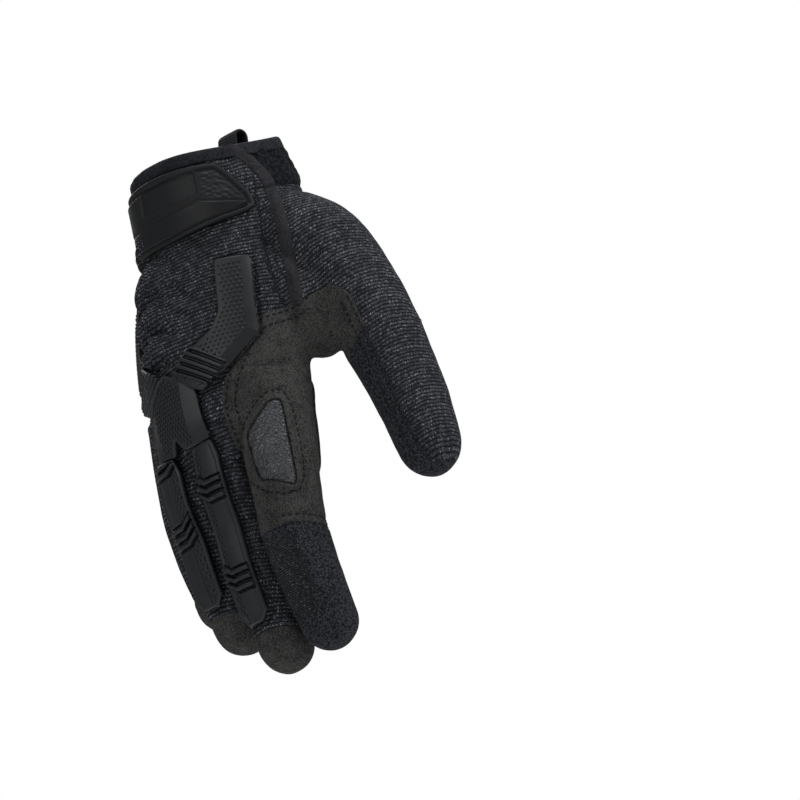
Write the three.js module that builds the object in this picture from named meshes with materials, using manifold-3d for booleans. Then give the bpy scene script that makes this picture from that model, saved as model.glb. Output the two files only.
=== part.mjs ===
// A right-hand tactical glove, filled as if worn. Millimetres: the fingers point down (-Z), the thumb
// is towards +X, the palm faces +Y, and the origin is in the middle of the cuff's mouth.
import * as THREE from "three";
import { mergeVertices } from "three/addons/utils/BufferGeometryUtils.js";
import Module from "manifold-3d";

const wasm = await Module();
wasm.setup();

// Driving dimensions
const CLOTH = 2; // wall of knit, suede and textured fabric
const GAP = 0.3; // clearance between neighbouring pieces
const PAD_LIFT = 3; // padded pads over the palm
const PATCH_LIFT = 1.4; // flat patches sewn on the palm
const GUARD_LIFT = 2.8; // moulded guard over the cloth
const RIB_LIFT = 3.8; // ribs across the guard
const HAND_SIDES = 24;
const FINGER_SIDES = 12;
const SQUARENESS = 2.4; // exponent of the sections, 2 is an ellipse
const ARCH_X = 6; // crest of the arched back
const LEAN = 0.24; // how far the cuff's rim rises towards the palm, per millimetre
const LEAN_FADE = 45; // the lean has gone this far below the wrist seam
const WRIST_Z = -22;
const KNUCKLE_Z = -127;
const GUARD_AXIS_X = -7; // the guard is alike on both sides of this line
const VIEW_TURN = 50; // the side pieces are laid out as seen from this many degrees round from the back
const PAST = 110; // past the glove on every side, for cuts that go right through it
const PALM_HALF = -6; // palm pieces lie on the palm side of this depth
const BACK_HALF = -6; // the knuckle plate lies behind this depth
const VOID_RISE = 40; // the hollow runs out this far above the wrist seam

// Hand, a row for each level: half width, half depth, and how strongly the section arches
const HAND = [
  { x: 3.5, y: 3, z: WRIST_Z, wide: 35.5, deep: 30.5, arch: 0 },
  { x: 3, y: 1, z: -36, wide: 37, deep: 27.5, arch: 0 },
  { x: 2, y: -2.5, z: -52, wide: 40, deep: 25.5, arch: 0.001 },
  { x: 0, y: -7.5, z: -75, wide: 45, deep: 22.3, arch: 0.003 },
  { x: -2, y: -11, z: -98, wide: 49, deep: 20.5, arch: 0.005 },
  { x: -3, y: -12, z: -118, wide: 50, deep: 18.5, arch: 0.005 },
  { x: -3, y: -11, z: -133, wide: 49, deep: 14, arch: 0.005 },
];
const HAND_TIP = 7;

// Fingers and thumb, a row for each section along the limb, and the length of the rounded end
const INDEX = [
  { x: 34, y: -8, z: -106, wide: 13.5, deep: 16 },
  { x: 34.5, y: -9.5, z: -138, wide: 14.2, deep: 15.2 },
  { x: 33.3, y: -8, z: -156, wide: 13, deep: 13.8 },
  { x: 32.3, y: -5.5, z: -175, wide: 12.8, deep: 13 },
  { x: 31.6, y: 1, z: -196, wide: 12.3, deep: 12.3 },
  { x: 31, y: 7, z: -211, wide: 11.8, deep: 11 },
];
const MIDDLE = [
  { x: 7, y: -13, z: -106, wide: 13, deep: 15 },
  { x: 7.5, y: -12, z: -140, wide: 13, deep: 14 },
  { x: 7, y: -8, z: -163, wide: 12.4, deep: 12.8 },
  { x: 6.2, y: -4, z: -186, wide: 12.3, deep: 12.3 },
  { x: 5, y: 3.5, z: -213, wide: 11.6, deep: 10.8 },
];
const RING = [
  { x: -19, y: -12, z: -106, wide: 13, deep: 15 },
  { x: -19, y: -11, z: -140, wide: 12.8, deep: 13.6 },
  { x: -20, y: -6, z: -160, wide: 12.3, deep: 12.6 },
  { x: -21, y: -2.5, z: -178, wide: 12, deep: 12 },
  { x: -21.8, y: 3.5, z: -196, wide: 11.2, deep: 10.8 },
];
const LITTLE = [
  { x: -41, y: 0, z: -100, wide: 10.5, deep: 13 },
  { x: -43.5, y: 1.5, z: -134, wide: 10.2, deep: 11.6 },
  { x: -44.3, y: 5, z: -154, wide: 9.8, deep: 10.8 },
  { x: -43.8, y: 12, z: -178, wide: 9.3, deep: 9.5 },
];
const THUMB = [
  { x: 23, y: 7, z: -33, wide: 16, deep: 18 },
  { x: 41, y: 17, z: -47, wide: 20, deep: 21 },
  { x: 55, y: 23, z: -69, wide: 18.5, deep: 18.5 },
  { x: 64.5, y: 27, z: -90, wide: 16.8, deep: 16.5 },
  { x: 71.5, y: 29.5, z: -111, wide: 15.2, deep: 15.2 },
  { x: 78, y: 31, z: -131, wide: 14.2, deep: 14 },
  { x: 82.5, y: 31.5, z: -148, wide: 12.8, deep: 12.6 },
];
const WEB = [
  { x: 30, y: 0, z: -50, wide: 10, deep: 14 },
  { x: 43, y: 7, z: -74, wide: 14, deep: 14 },
  { x: 48.5, y: 11, z: -91, wide: 9.5, deep: 9.5 },
];
const FINGER_TIP = 13;
const THUMB_TIP = 14;
const WEB_TIP = 9;

// Cuff, a row for each level; crown is how far the level rises at the middle of the back and the palm
const CUFF = [
  { x: 3, y: 1, z: -36, wide: 37, deep: 27.5, crown: 0 },
  { x: 3.5, y: 3, z: WRIST_Z, wide: 35.5, deep: 30.5, crown: 0 },
  { x: 2, y: 1.5, z: -12, wide: 33.6, deep: 29.6, crown: 2.8 },
  { x: 0, y: 0, z: 0, wide: 31.6, deep: 28.6, crown: 5.5 },
];
const CROWN_REACH = 35; // the crown falls to nothing this far from the middle
const BINDING_HEIGHT = 5;
const BINDING_PROUD = 0.7;

// Wrist strap, a row for each turn round the cuff, from the thumb side over the back to the palm
const STRAP = [
  { turn: 18, low: -29.5, high: -26.5 },
  { turn: 21, low: -30.8, high: -21.5 },
  { turn: 26, low: -31.5, high: -14.5 },
  { turn: 32, low: -32, high: -9 },
  { turn: 39, low: -32.3, high: -5.8 },
  { turn: 90, low: -33.5, high: -5.4 },
  { turn: 150, low: -32, high: -5.4 },
  { turn: 200, low: -29, high: -5.6 },
  { turn: 245, low: -26, high: -6 },
  { turn: 258, low: -23, high: -9 },
  { turn: 264, low: -19, high: -12.5 },
];
const STRAP_THICK = 2.4;
const PLATE = { from: 54, to: 116, low: -21, high: -9.5, deep: 0.9 };

const LOOP = { x: -11, wide: 12, tall: 10, webbing: 1.3, inside: 4.8 };

// Outlines, seen from the back or through the palm: across and up
const HEEL_PAD = [[-5, -29], [14, -27], [48, -66], [32, -94], [-4, -84], [-8, -76]];
const SIDE_PAD = [[-40, -33], [-20, -31], [-16, -86], [-22, -92], [-47, -84], [-48, -62]];
const REINFORCEMENT = [
  [-14, -98], [28, -97], [42, -108], [46, -124], [44, -148], [30, -151], [26, -136], [20, -129],
  [15, -134], [10, -146], [-1, -146], [-5, -134], [-8, -130], [-12, -134], [-15, -145], [-25, -145],
  [-30, -132], [-34, -127], [-39, -136], [-50, -134], [-50, -112], [-38, -101],
];
// Outlines seen from the side view: across and up
const ARM = [
  [-1, -53], [14, -54], [13, -89], [-3, -102], [-13, -108], [-26, -98], [-18, -90], [-6, -83], [-2, -76],
];
const SIDE_PAD_D = [[13, -121], [18, -121], [20, -159], [5, -153], [2, -133]];
const SIDE_PAD_NEAR = 20; // the pad on the index finger's side lies beyond this depth
const WELT = [[24, -23], [27.5, -23], [29.5, -46], [30.5, -76], [27, -76], [26, -46]];
const THUMB_SIDE = [
  [25.7, 0], [120, 0], [120, -190], [77, -162], [68, -134], [62, -110], [56, -90], [53, -78],
  [44, -72], [31, -79], [27, -62], [26, -44],
];
// Half of the knuckle plate, from the guard's axis outwards
const PLATE_HALF = [[0, -93], [10, -99], [19, -106], [20, KNUCKLE_Z], [4, KNUCKLE_Z], [0, -121]];
const GUSSET = [[44, -76], [33, -92], [25, -108], [21, -122], [20.6, -300], [130, -300], [130, -76]];
const BARS = {
  middle: { x: 6.4, end: -206, wide: 16, ribs: [-144, -186] },
  ring: { x: -20.4, end: -190, wide: 15.5, ribs: [-150, -172] },
};
const CAPS = [
  { left: -8, right: 20, top: -210 },
  { left: -33, right: -8.1, top: -194 },
  { left: -70, right: -33.1, top: -176 },
];
const INDEX_TIP_SIDE = [[20.4, -260], [55, -260], [55, -174], [20.4, -174]];
const THUMB_TIP_SIDE = [[50, -112], [78, -91], [125, -91], [125, -200], [50, -200]];
const THUMB_OUTER_EDGE = [
  [39, 10], [39, -20], [62, -55], [74, -86], [84, -123], [92, -170], [130, -170], [130, 10],
];
const THUMB_SPLIT_Y = 27;
// The sheet that parts back from palm, and how many steps it bends in
const PARTING = { left: -80, right: 70, bottom: -250, top: 10, columns: 6, levels: 10 };
const RIB = { wide: 1.5, pitch: 3.4 };
const ARM_RIBS = { u: -13, z: -96.5, count: 4, angle: 40, length: 17 };
const ARM_SHIFT = 4; // the far arm stands this much further over
const BAR_DEPTH = -2; // the finger bars lie behind this depth

const degrees = THREE.MathUtils.degToRad;
const byName = (row, next, t) =>
  Object.fromEntries(Object.keys(row).map((name) => [name, THREE.MathUtils.lerp(row[name], next[name], t)]));

// The row of a table at a place between its rows, by the named column.
function rowAt(rows, column, value) {
  const falls = rows[1][column] < rows[0][column];
  let i = 0;
  while (i < rows.length - 2 && (falls ? value < rows[i + 1][column] : value > rows[i + 1][column])) {
    i += 1;
  }
  const t = (value - rows[i][column]) / (rows[i + 1][column] - rows[i][column]);
  return byName(rows[i], rows[i + 1], THREE.MathUtils.clamp(t, 0, 1));
}

// A closed mesh as a manifold-3d solid, turned right way out if it is inside out.
function solidOf(geometry) {
  const loose = geometry.index ? geometry.toNonIndexed() : geometry;
  const bare = new THREE.BufferGeometry().setAttribute("position", loose.getAttribute("position"));
  const merged = mergeVertices(bare, 1e-4);
  const vertProperties = merged.attributes.position.array;
  const triVerts = new Uint32Array(merged.index.array);
  const solid = new wasm.Manifold(new wasm.Mesh({ numProp: 3, vertProperties, triVerts }));
  if (solid.volume() > 0) {
    return solid;
  }
  return new wasm.Manifold(new wasm.Mesh({ numProp: 3, vertProperties, triVerts: triVerts.reverse() }));
}

// A three.js geometry with each vertex moved to where map sends it.
function warped(geometry, map) {
  const position = geometry.getAttribute("position");
  const point = new THREE.Vector3();
  for (let i = 0; i < position.count; i += 1) {
    const moved = map(point.fromBufferAttribute(position, i));
    position.setXYZ(i, moved.x, moved.y, moved.z);
  }
  return solidOf(geometry);
}

// A point of a rounded section, from its direction and its distance from the middle.
function roundedSection(cos, sin, reach, wide, deep) {
  const power = 2 / SQUARENESS;
  return {
    across: reach * wide * Math.sign(cos) * Math.abs(cos) ** power,
    through: reach * deep * Math.sign(sin) * Math.abs(sin) ** power,
  };
}

// Levels lean up towards the palm at the wrist and lie flat further down the hand.
function leaned(x, y, z) {
  const fade = THREE.MathUtils.clamp(1 + (z - WRIST_Z) / LEAN_FADE, 0, 1);
  return new THREE.Vector3(x, y, z + LEAN * y * fade);
}

// Closing rows that round off the end of a limb.
function domeRows(row, length, along) {
  return [40, 75].map((angle) => {
    const scale = Math.cos(degrees(angle));
    const step = length * Math.sin(degrees(angle));
    return {
      ...row,
      x: row.x + along.x * step,
      y: row.y + along.y * step,
      z: row.z + along.z * step,
      wide: row.wide * scale,
      deep: row.deep * scale,
    };
  });
}

// The stretch of a limb from row to row as a unit vector.
function heading(rows, i) {
  const from = rows[Math.max(i - 1, 0)];
  const to = rows[Math.min(i + 1, rows.length - 1)];
  return new THREE.Vector3(to.x - from.x, to.y - from.y, to.z - from.z).normalize();
}

// A finger or the thumb: sections square to its path, grown or shrunk all round.
function limb(table, tip, sides, grow) {
  const rows = table.map((row) => ({ ...row, wide: row.wide + grow, deep: row.deep + grow }));
  const last = heading(table, table.length - 1);
  const all = [...rows, ...domeRows(rows[rows.length - 1], tip + grow, last)];
  const count = all.length - 1;
  return warped(new THREE.CylinderGeometry(1, 1, 1, sides, count), (p) => {
    const i = Math.round((0.5 - p.y) * count);
    const row = all[i];
    const along = i < rows.length ? heading(table, i) : last;
    const through = new THREE.Vector3(0, 1, 0).addScaledVector(along, -along.y).normalize();
    const across = new THREE.Vector3().crossVectors(through, along);
    const reach = Math.hypot(p.x, p.z);
    const at = roundedSection(p.x / (reach || 1), p.z / (reach || 1), reach, row.wide, row.deep);
    return new THREE.Vector3(row.x, row.y, row.z)
      .addScaledVector(across, at.across)
      .addScaledVector(through, at.through);
  });
}

// The hand between wrist and finger roots, arched across; rise carries a void out through its top.
function hand(grow, rise) {
  const rows = HAND.map((row) => ({ ...row, wide: row.wide + grow, deep: row.deep + grow }));
  const top = rise > 0 ? [{ ...rows[0], z: WRIST_Z + rise }] : [];
  const end = domeRows(rows[rows.length - 1], HAND_TIP + grow, new THREE.Vector3(0, 0, -1));
  const all = [...top, ...rows, ...end];
  const count = all.length - 1;
  return warped(new THREE.CylinderGeometry(1, 1, 1, HAND_SIDES, count), (p) => {
    const row = all[Math.round((0.5 - p.y) * count)];
    const reach = Math.hypot(p.x, p.z);
    const at = roundedSection(p.x / (reach || 1), p.z / (reach || 1), reach, row.wide, row.deep);
    const x = row.x + at.across;
    return leaned(x, row.y + at.through + row.arch * (x - ARCH_X) ** 2, row.z);
  });
}

// An outline of across and up, turned round Z and pushed through the glove between two depths.
function prism(outline, turn, near, far) {
  const shape = new THREE.Shape(outline.map(([across, up]) => new THREE.Vector2(across, up)));
  const geometry = new THREE.ExtrudeGeometry(shape, { depth: far - near, bevelEnabled: false });
  const a = degrees(turn);
  const across = new THREE.Vector3(Math.cos(a), Math.sin(a), 0);
  const back = new THREE.Vector3(Math.sin(a), -Math.cos(a), 0);
  geometry.applyMatrix4(new THREE.Matrix4().makeBasis(across, new THREE.Vector3(0, 0, 1), back));
  geometry.translate(-back.x * far, -back.y * far, 0);
  return solidOf(geometry);
}

// An outline with each of its edges moved outwards by a distance.
function grown(outline, distance) {
  if (distance === 0) {
    return outline;
  }
  const points = outline.map(([across, up]) => new THREE.Vector2(across, up));
  const outward = THREE.ShapeUtils.isClockWise(points) ? -1 : 1;
  return points.map((point, i) => {
    const before = points[(i + points.length - 1) % points.length];
    const after = points[(i + 1) % points.length];
    const a = point.clone().sub(before).normalize();
    const b = after.clone().sub(point).normalize();
    const normal = new THREE.Vector2(a.y + b.y, -a.x - b.x).normalize();
    const miter = 1 / Math.max(0.4, normal.x * a.y - normal.y * a.x);
    return [point.x + normal.x * outward * distance * miter, point.y + normal.y * outward * distance * miter];
  });
}

// The whole filled glove below the wrist seam, grown or shrunk all round; a void rises out through it.
function filledGlove(grow, rise = 0) {
  const whole = hand(grow, rise)
    .add(limb(INDEX, FINGER_TIP, FINGER_SIDES, grow))
    .add(limb(MIDDLE, FINGER_TIP, FINGER_SIDES, grow))
    .add(limb(RING, FINGER_TIP, FINGER_SIDES, grow))
    .add(limb(LITTLE, FINGER_TIP - 1, FINGER_SIDES, grow))
    .add(limb(THUMB, THUMB_TIP, FINGER_SIDES + 4, grow))
    .add(limb(WEB, WEB_TIP, FINGER_SIDES, grow));
  if (rise > 0) {
    return whole;
  }
  const tilt = LEAN * PAST;
  const above = [[-PAST, WRIST_Z - tilt], [PAST, WRIST_Z + tilt], [PAST, PAST], [-PAST, PAST]];
  return whole.subtract(prism(above, 90, -PAST, PAST));
}

const rectangle = (x0, x1, z0, z1) => [[x0, z0], [x1, z0], [x1, z1], [x0, z1]];

const LIMBS_BY_X = [LITTLE, RING, MIDDLE, INDEX];

// Depth of the seam between back and palm at a place seen from the back.
function partingDepth(x, z) {
  const level = rowAt(HAND, "z", z);
  const handDepth = level.y + level.arch * (x - ARCH_X) ** 2;
  const places = LIMBS_BY_X.map((rows) => rowAt(rows, "z", z));
  const fingerDepth = rowAt(places, "x", THREE.MathUtils.clamp(x, places[0].x, places[3].x)).y;
  const mix = THREE.MathUtils.smoothstep(-z, 112, 136);
  return THREE.MathUtils.lerp(handDepth, fingerDepth, mix);
}

// Everything on the palm side of the seam, moved back by the given clearance.
function palmSide(clearance) {
  const { left, right, bottom, top, columns, levels } = PARTING;
  return warped(new THREE.BoxGeometry(1, 1, 1, columns, 1, levels), (p) => {
    const x = THREE.MathUtils.lerp(left, right, p.x + 0.5);
    const z = THREE.MathUtils.lerp(bottom, top, p.z + 0.5);
    return new THREE.Vector3(x, p.y > 0 ? PAST : partingDepth(x, z) - clearance, z);
  });
}

const outer = filledGlove(0);
const shell = outer.subtract(filledGlove(-CLOTH, VOID_RISE));
const liftedFrom = filledGlove(GAP).add(outer);
const patchSkin = filledGlove(PATCH_LIFT).subtract(liftedFrom);
const padSkin = filledGlove(PAD_LIFT).subtract(liftedFrom);
const guardSkin = filledGlove(GUARD_LIFT).subtract(liftedFrom);
const ribSkin = filledGlove(RIB_LIFT).subtract(liftedFrom);

// The outer side of the thumb that is knitted: ahead of the hand's seam as the side view shows it, and
// on the palm side only beyond a line near the thumb's outer edge.
function thumbKnitRegion(clearance) {
  const split = THUMB_SPLIT_Y;
  const behind = prism(grown(THUMB_OUTER_EDGE, clearance), 0, split - clearance, PAST);
  const side = prism(grown(THUMB_SIDE, clearance), VIEW_TURN, -PAST, PAST);
  const beyond = prism(rectangle(-PAST, 2 * PAST, -2 * PAST, PAST), 0, split + clearance, 2 * PAST);
  return side.subtract(beyond).add(behind);
}

const throughBack = (outline) => prism(outline, 0, -PAST, PAST);
const thumbTipRegion = (clearance) => throughBack(grown(THUMB_TIP_SIDE, clearance));
const indexTipRegion = (clearance) => throughBack(grown(INDEX_TIP_SIDE, clearance));

// All that is suede: the palm side, the gusset beside the index finger and the caps of the finger ends.
function suedeRegion(clearance) {
  let region = palmSide(clearance);
  region = region.add(throughBack(grown(GUSSET, clearance)));
  for (const cap of CAPS) {
    region = region.add(throughBack(grown(rectangle(cap.left, cap.right, -3 * PAST, cap.top), clearance)));
  }
  return region;
}

const thumbKnit = shell.intersect(thumbKnitRegion(0));
const notThumbKnit = shell.subtract(thumbKnitRegion(GAP));
const backKnit = notThumbKnit.subtract(suedeRegion(GAP));
const suedeAll = notThumbKnit.intersect(suedeRegion(0));
const indexTip = suedeAll.intersect(indexTipRegion(0));
const thumbTip = suedeAll.subtract(indexTipRegion(GAP)).intersect(thumbTipRegion(0));
const palmSuede = suedeAll.subtract(indexTipRegion(GAP)).subtract(thumbTipRegion(GAP));

const fromPalm = (outline) => prism(outline, 0, PALM_HALF, PAST);
const fromSide = (outline, turn = VIEW_TURN, near = 0) => prism(outline, turn, -PAST, -near);
const guardX = (h) => GUARD_AXIS_X + h;

// Strips laid square across a direction, for moulded ribs.
function ribStrips(u, z, count, angle, length, turn) {
  const strips = [];
  const a = degrees(angle);
  for (let i = 0; i < count; i += 1) {
    const shift = (i - (count - 1) / 2) * RIB.pitch;
    const cu = u - Math.sin(a) * shift;
    const cz = z + Math.cos(a) * shift;
    const half = [(Math.cos(a) * length) / 2, (Math.sin(a) * length) / 2];
    const thick = [(-Math.sin(a) * RIB.wide) / 2, (Math.cos(a) * RIB.wide) / 2];
    const outline = [
      [cu - half[0] - thick[0], cz - half[1] - thick[1]],
      [cu + half[0] - thick[0], cz + half[1] - thick[1]],
      [cu + half[0] + thick[0], cz + half[1] + thick[1]],
      [cu - half[0] + thick[0], cz - half[1] + thick[1]],
    ];
    strips.push(fromSide(outline, turn));
  }
  return strips.reduce((all, strip) => all.add(strip));
}

// The knuckle guard: two dog-leg arms that meet in a plate over the knuckles, with ribs across each arm.
function knuckleGuard() {
  const right = PLATE_HALF.map(([h, z]) => [guardX(h), z]);
  const left = PLATE_HALF.slice(1, -1).map(([h, z]) => [guardX(-h), z]).reverse();
  const plate = prism([...right, ...left], 0, -PAST, BACK_HALF);
  const arm = fromSide(ARM);
  const mirror = (u) => -u + 2 * GUARD_AXIS_X * Math.cos(degrees(VIEW_TURN)) + ARM_SHIFT;
  const otherArm = fromSide(ARM.map(([u, z]) => [mirror(u), z]), -VIEW_TURN);
  const outline = plate.add(arm).add(otherArm);
  const { u, z, count, angle, length } = ARM_RIBS;
  const ribs = ribStrips(u, z, count, -angle, length, VIEW_TURN);
  const otherRibs = ribStrips(mirror(u), z, count, angle, length, -VIEW_TURN);
  return guardSkin.intersect(outline).add(ribSkin.intersect(ribs.add(otherRibs)));
}

// A finger's guard bar, chamfered at its end, with two groups of ribs.
function guardBar({ x, end, wide, ribs }) {
  const half = wide / 2;
  const top = KNUCKLE_Z - GAP;
  const outline = [
    [x - half, top], [x + half, top], [x + half * 0.92, end + 5],
    [x + half * 0.5, end], [x - half * 0.5, end], [x - half * 0.92, end + 5],
  ];
  let bar = guardSkin.intersect(prism(outline, 0, -PAST, BAR_DEPTH));
  for (const z of ribs) {
    bar = bar.add(ribSkin.intersect(ribStrips(x, z, 3, 0, wide * 0.8, 0)));
  }
  return bar;
}

// A point on the cuff's outside at a turn round it and a height.
function cuffPoint(turn, z, grow) {
  const row = rowAt(CUFF, "z", z);
  const a = degrees(turn);
  const at = roundedSection(Math.cos(a), -Math.sin(a), 1, row.wide + grow, row.deep + grow);
  const x = row.x + at.across;
  const crown = row.crown * (1 - (x / CROWN_REACH) ** 2);
  return leaned(x, row.y + at.through, z + crown);
}

// A band that wraps the cuff, following a table of turns with low and high edges.
function wrapped(rows, from, to) {
  const count = rows.length - 1;
  return warped(new THREE.BoxGeometry(1, 1, 1, count * 3, 1, 3), (p) => {
    const place = (p.x + 0.5) * count;
    const i = Math.min(Math.floor(place + 1e-6), count - 1);
    const row = byName(rows[i], rows[i + 1], place - i);
    return cuffPoint(row.turn, row.low + (row.high - row.low) * (p.z + 0.5), p.y > 0 ? to : from);
  });
}

// A ring of the cuff between two heights, from an inner to an outer growth.
function cuffRing(low, high, from, to) {
  const sides = HAND_SIDES;
  const ring = (grow, spare) =>
    warped(new THREE.CylinderGeometry(1, 1, 1, sides, 2), (p) => {
      const reach = Math.hypot(p.x, p.z);
      const turn = THREE.MathUtils.radToDeg(Math.atan2(p.z, p.x));
      const z = low - spare + (high - low + 2 * spare) * (p.y + 0.5);
      const edge = cuffPoint(turn, z, grow);
      const middle = leaned(0, 0, z);
      return middle.lerp(edge, reach);
    });
  return ring(to, 0).subtract(ring(from, 0.5));
}

function wristStrap() {
  const lift = BINDING_PROUD + GAP;
  const strap = wrapped(STRAP, lift, lift + STRAP_THICK);
  const plate = [
    { turn: PLATE.from, low: PLATE.low, high: PLATE.high },
    { turn: (PLATE.from + PLATE.to) / 2, low: PLATE.low, high: PLATE.high },
    { turn: PLATE.to, low: PLATE.low, high: PLATE.high },
  ];
  return strap.subtract(wrapped(plate, lift + STRAP_THICK - PLATE.deep, lift + STRAP_THICK + 2));
}

function pullLoop() {
  const half = LOOP.inside / 2 + LOOP.webbing;
  const seat = cuffPoint(252, 0, 0);
  const bottom = seat.z + 2 * GAP;
  const lean = LEAN * half;
  const arc = (radius, z) => {
    const path = new THREE.Path();
    path.absarc(0, z, radius, 0, Math.PI, false);
    return path.getPoints(5);
  };
  const crest = bottom + LOOP.tall - half;
  const outline = [[-half, bottom - lean], [half, bottom + lean], ...arc(half, crest).map((p) => [p.x, p.y])];
  const inner = half - LOOP.webbing;
  const floor = bottom + LOOP.webbing;
  const hole = [[-inner, floor - lean / 2], [inner, floor + lean / 2]];
  hole.push(...arc(inner, crest).map((p) => [p.x, p.y]));
  const left = LOOP.x - LOOP.wide / 2;
  const loop = prism(outline, 90, -left - LOOP.wide, -left);
  const cut = prism(hole, 90, -left - LOOP.wide - 1, -left + 1);
  return { solid: loop.subtract(cut), place: new THREE.Vector3(0, seat.y - CLOTH / 2, 0) };
}

const COLOURS = {
  knit: { color: 0x17181c, roughness: 0.95 },
  suede: { color: 0x24211e, roughness: 0.92 },
  fabric: { color: 0x191c22, roughness: 0.9 },
  rubber: { color: 0x141518, roughness: 0.55 },
  grain: { color: 0x1b1c1e, roughness: 0.6 },
  webbing: { color: 0x16171a, roughness: 0.85 },
};

const glove = new THREE.Group();

// The largest body of a solid, without the slivers that slanting cuts leave.
function mainBody(solid) {
  return solid.decompose().reduce((best, body) => (body.volume() > best.volume() ? body : best));
}

// Adds a solid to the glove as a named mesh with its own material.
function addPiece(name, solid, colours, place) {
  const mesh = mainBody(solid).getMesh();
  const geometry = new THREE.BufferGeometry();
  geometry.setAttribute("position", new THREE.BufferAttribute(new Float32Array(mesh.vertProperties), 3));
  geometry.setIndex(new THREE.BufferAttribute(new Uint32Array(mesh.triVerts), 1));
  geometry.computeVertexNormals();
  const piece = new THREE.Mesh(geometry, new THREE.MeshStandardMaterial({ ...colours, metalness: 0 }));
  piece.name = name;
  if (place) {
    piece.position.copy(place);
  }
  glove.add(piece);
}

const seamTop = WRIST_Z + GAP;
const bindingLow = -BINDING_HEIGHT;
const loop = pullLoop();
addPiece("back_knit_panel", backKnit, COLOURS.knit);
addPiece("thumb_knit_panel", thumbKnit, COLOURS.knit);
addPiece("palm_suede_panel", palmSuede, COLOURS.suede);
addPiece("index_tip_panel", indexTip, COLOURS.fabric);
addPiece("thumb_tip_panel", thumbTip, COLOURS.fabric);
addPiece("palm_heel_pad", padSkin.intersect(fromPalm(HEEL_PAD)), COLOURS.suede);
addPiece("palm_side_pad", padSkin.intersect(fromPalm(SIDE_PAD)), COLOURS.suede);
addPiece("palm_reinforcement", patchSkin.intersect(fromPalm(REINFORCEMENT)), COLOURS.fabric);
addPiece("index_side_pad", padSkin.intersect(fromSide(SIDE_PAD_D, VIEW_TURN, SIDE_PAD_NEAR)), COLOURS.grain);
addPiece("seam_welt", padSkin.intersect(fromSide(WELT)), COLOURS.suede);
addPiece("knuckle_guard", knuckleGuard(), COLOURS.rubber);
addPiece("middle_guard_bar", guardBar(BARS.middle), COLOURS.rubber);
addPiece("ring_guard_bar", guardBar(BARS.ring), COLOURS.rubber);
addPiece("cuff_band", cuffRing(seamTop, bindingLow - GAP, -CLOTH, 0), COLOURS.knit);
addPiece("cuff_binding", cuffRing(bindingLow, 0, -CLOTH - BINDING_PROUD, BINDING_PROUD), COLOURS.suede);
addPiece("wrist_strap", wristStrap(), COLOURS.rubber);
addPiece("pull_loop", loop.solid, COLOURS.webbing, loop.place);

export default glove;
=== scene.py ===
"""Right-hand tactical glove, filled as if worn: its visible pieces, finishes, camera and light.

Lengths are millimetres while a shape is worked out and become metres when its mesh is made. The fingers
point down, the thumb is towards +X, the back of the hand faces -Y and the palm faces +Y.
"""
import logging
import math
from dataclasses import dataclass, field
from enum import Enum

import bpy
import numpy as np
from mathutils import Matrix, Vector
from mathutils.bvhtree import BVHTree


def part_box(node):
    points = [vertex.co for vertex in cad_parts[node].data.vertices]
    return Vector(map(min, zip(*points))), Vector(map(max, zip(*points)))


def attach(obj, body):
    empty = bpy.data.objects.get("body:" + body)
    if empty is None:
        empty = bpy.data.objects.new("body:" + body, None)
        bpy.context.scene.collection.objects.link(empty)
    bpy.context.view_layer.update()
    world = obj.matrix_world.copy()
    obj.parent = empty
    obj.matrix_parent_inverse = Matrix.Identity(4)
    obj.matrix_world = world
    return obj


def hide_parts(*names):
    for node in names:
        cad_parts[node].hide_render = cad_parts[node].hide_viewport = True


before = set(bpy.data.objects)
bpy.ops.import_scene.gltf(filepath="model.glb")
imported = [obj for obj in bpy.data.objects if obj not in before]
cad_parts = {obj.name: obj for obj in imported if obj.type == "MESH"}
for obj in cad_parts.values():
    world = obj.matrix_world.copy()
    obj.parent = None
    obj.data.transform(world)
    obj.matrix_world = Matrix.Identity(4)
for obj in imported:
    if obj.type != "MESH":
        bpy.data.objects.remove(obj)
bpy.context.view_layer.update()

Array = np.ndarray
log = logging.getLogger("glove")

MM = 0.001
SQUARENESS = 2.4
ARCH_X = 6.0
LEAN = 0.24
LEAN_FADE = 45.0
WRIST_Z = -22.0
BINDING_HEIGHT = 5.0
CROWN_REACH = 35.0
RIM_CROWN = 5.5
VIEW_TURN = 50.0
WALL = 1.8
VOXEL = 0.95
# Meshes with more triangles than DENSE keep this share of them, and KEPT_MOST at the most
DENSE = 45_000
KEPT_SHARE = 0.55
KEPT_MOST = 110_000

# Columns: x, y, z, half width, half depth, arch, crown
HAND = np.array([
    (0, 0, 8, 30.6, 28.2, 0, 7.2), (0, 0, 0, 31.6, 28.6, 0, 5.5), (2, 1.5, -12, 33.6, 29.6, 0, 2.8),
    (3.5, 3, -22, 35.5, 30.5, 0, 0), (3, 1, -36, 37, 27.5, 0, 0), (2, -2.5, -52, 40, 25.5, 0.001, 0),
    (0, -7.5, -75, 45, 22.3, 0.003, 0), (-2, -11, -98, 49, 20.5, 0.005, 0),
    (-3, -12, -118, 50, 18.5, 0.005, 0), (-3, -11, -133, 49, 14, 0.005, 0),
])
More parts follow.
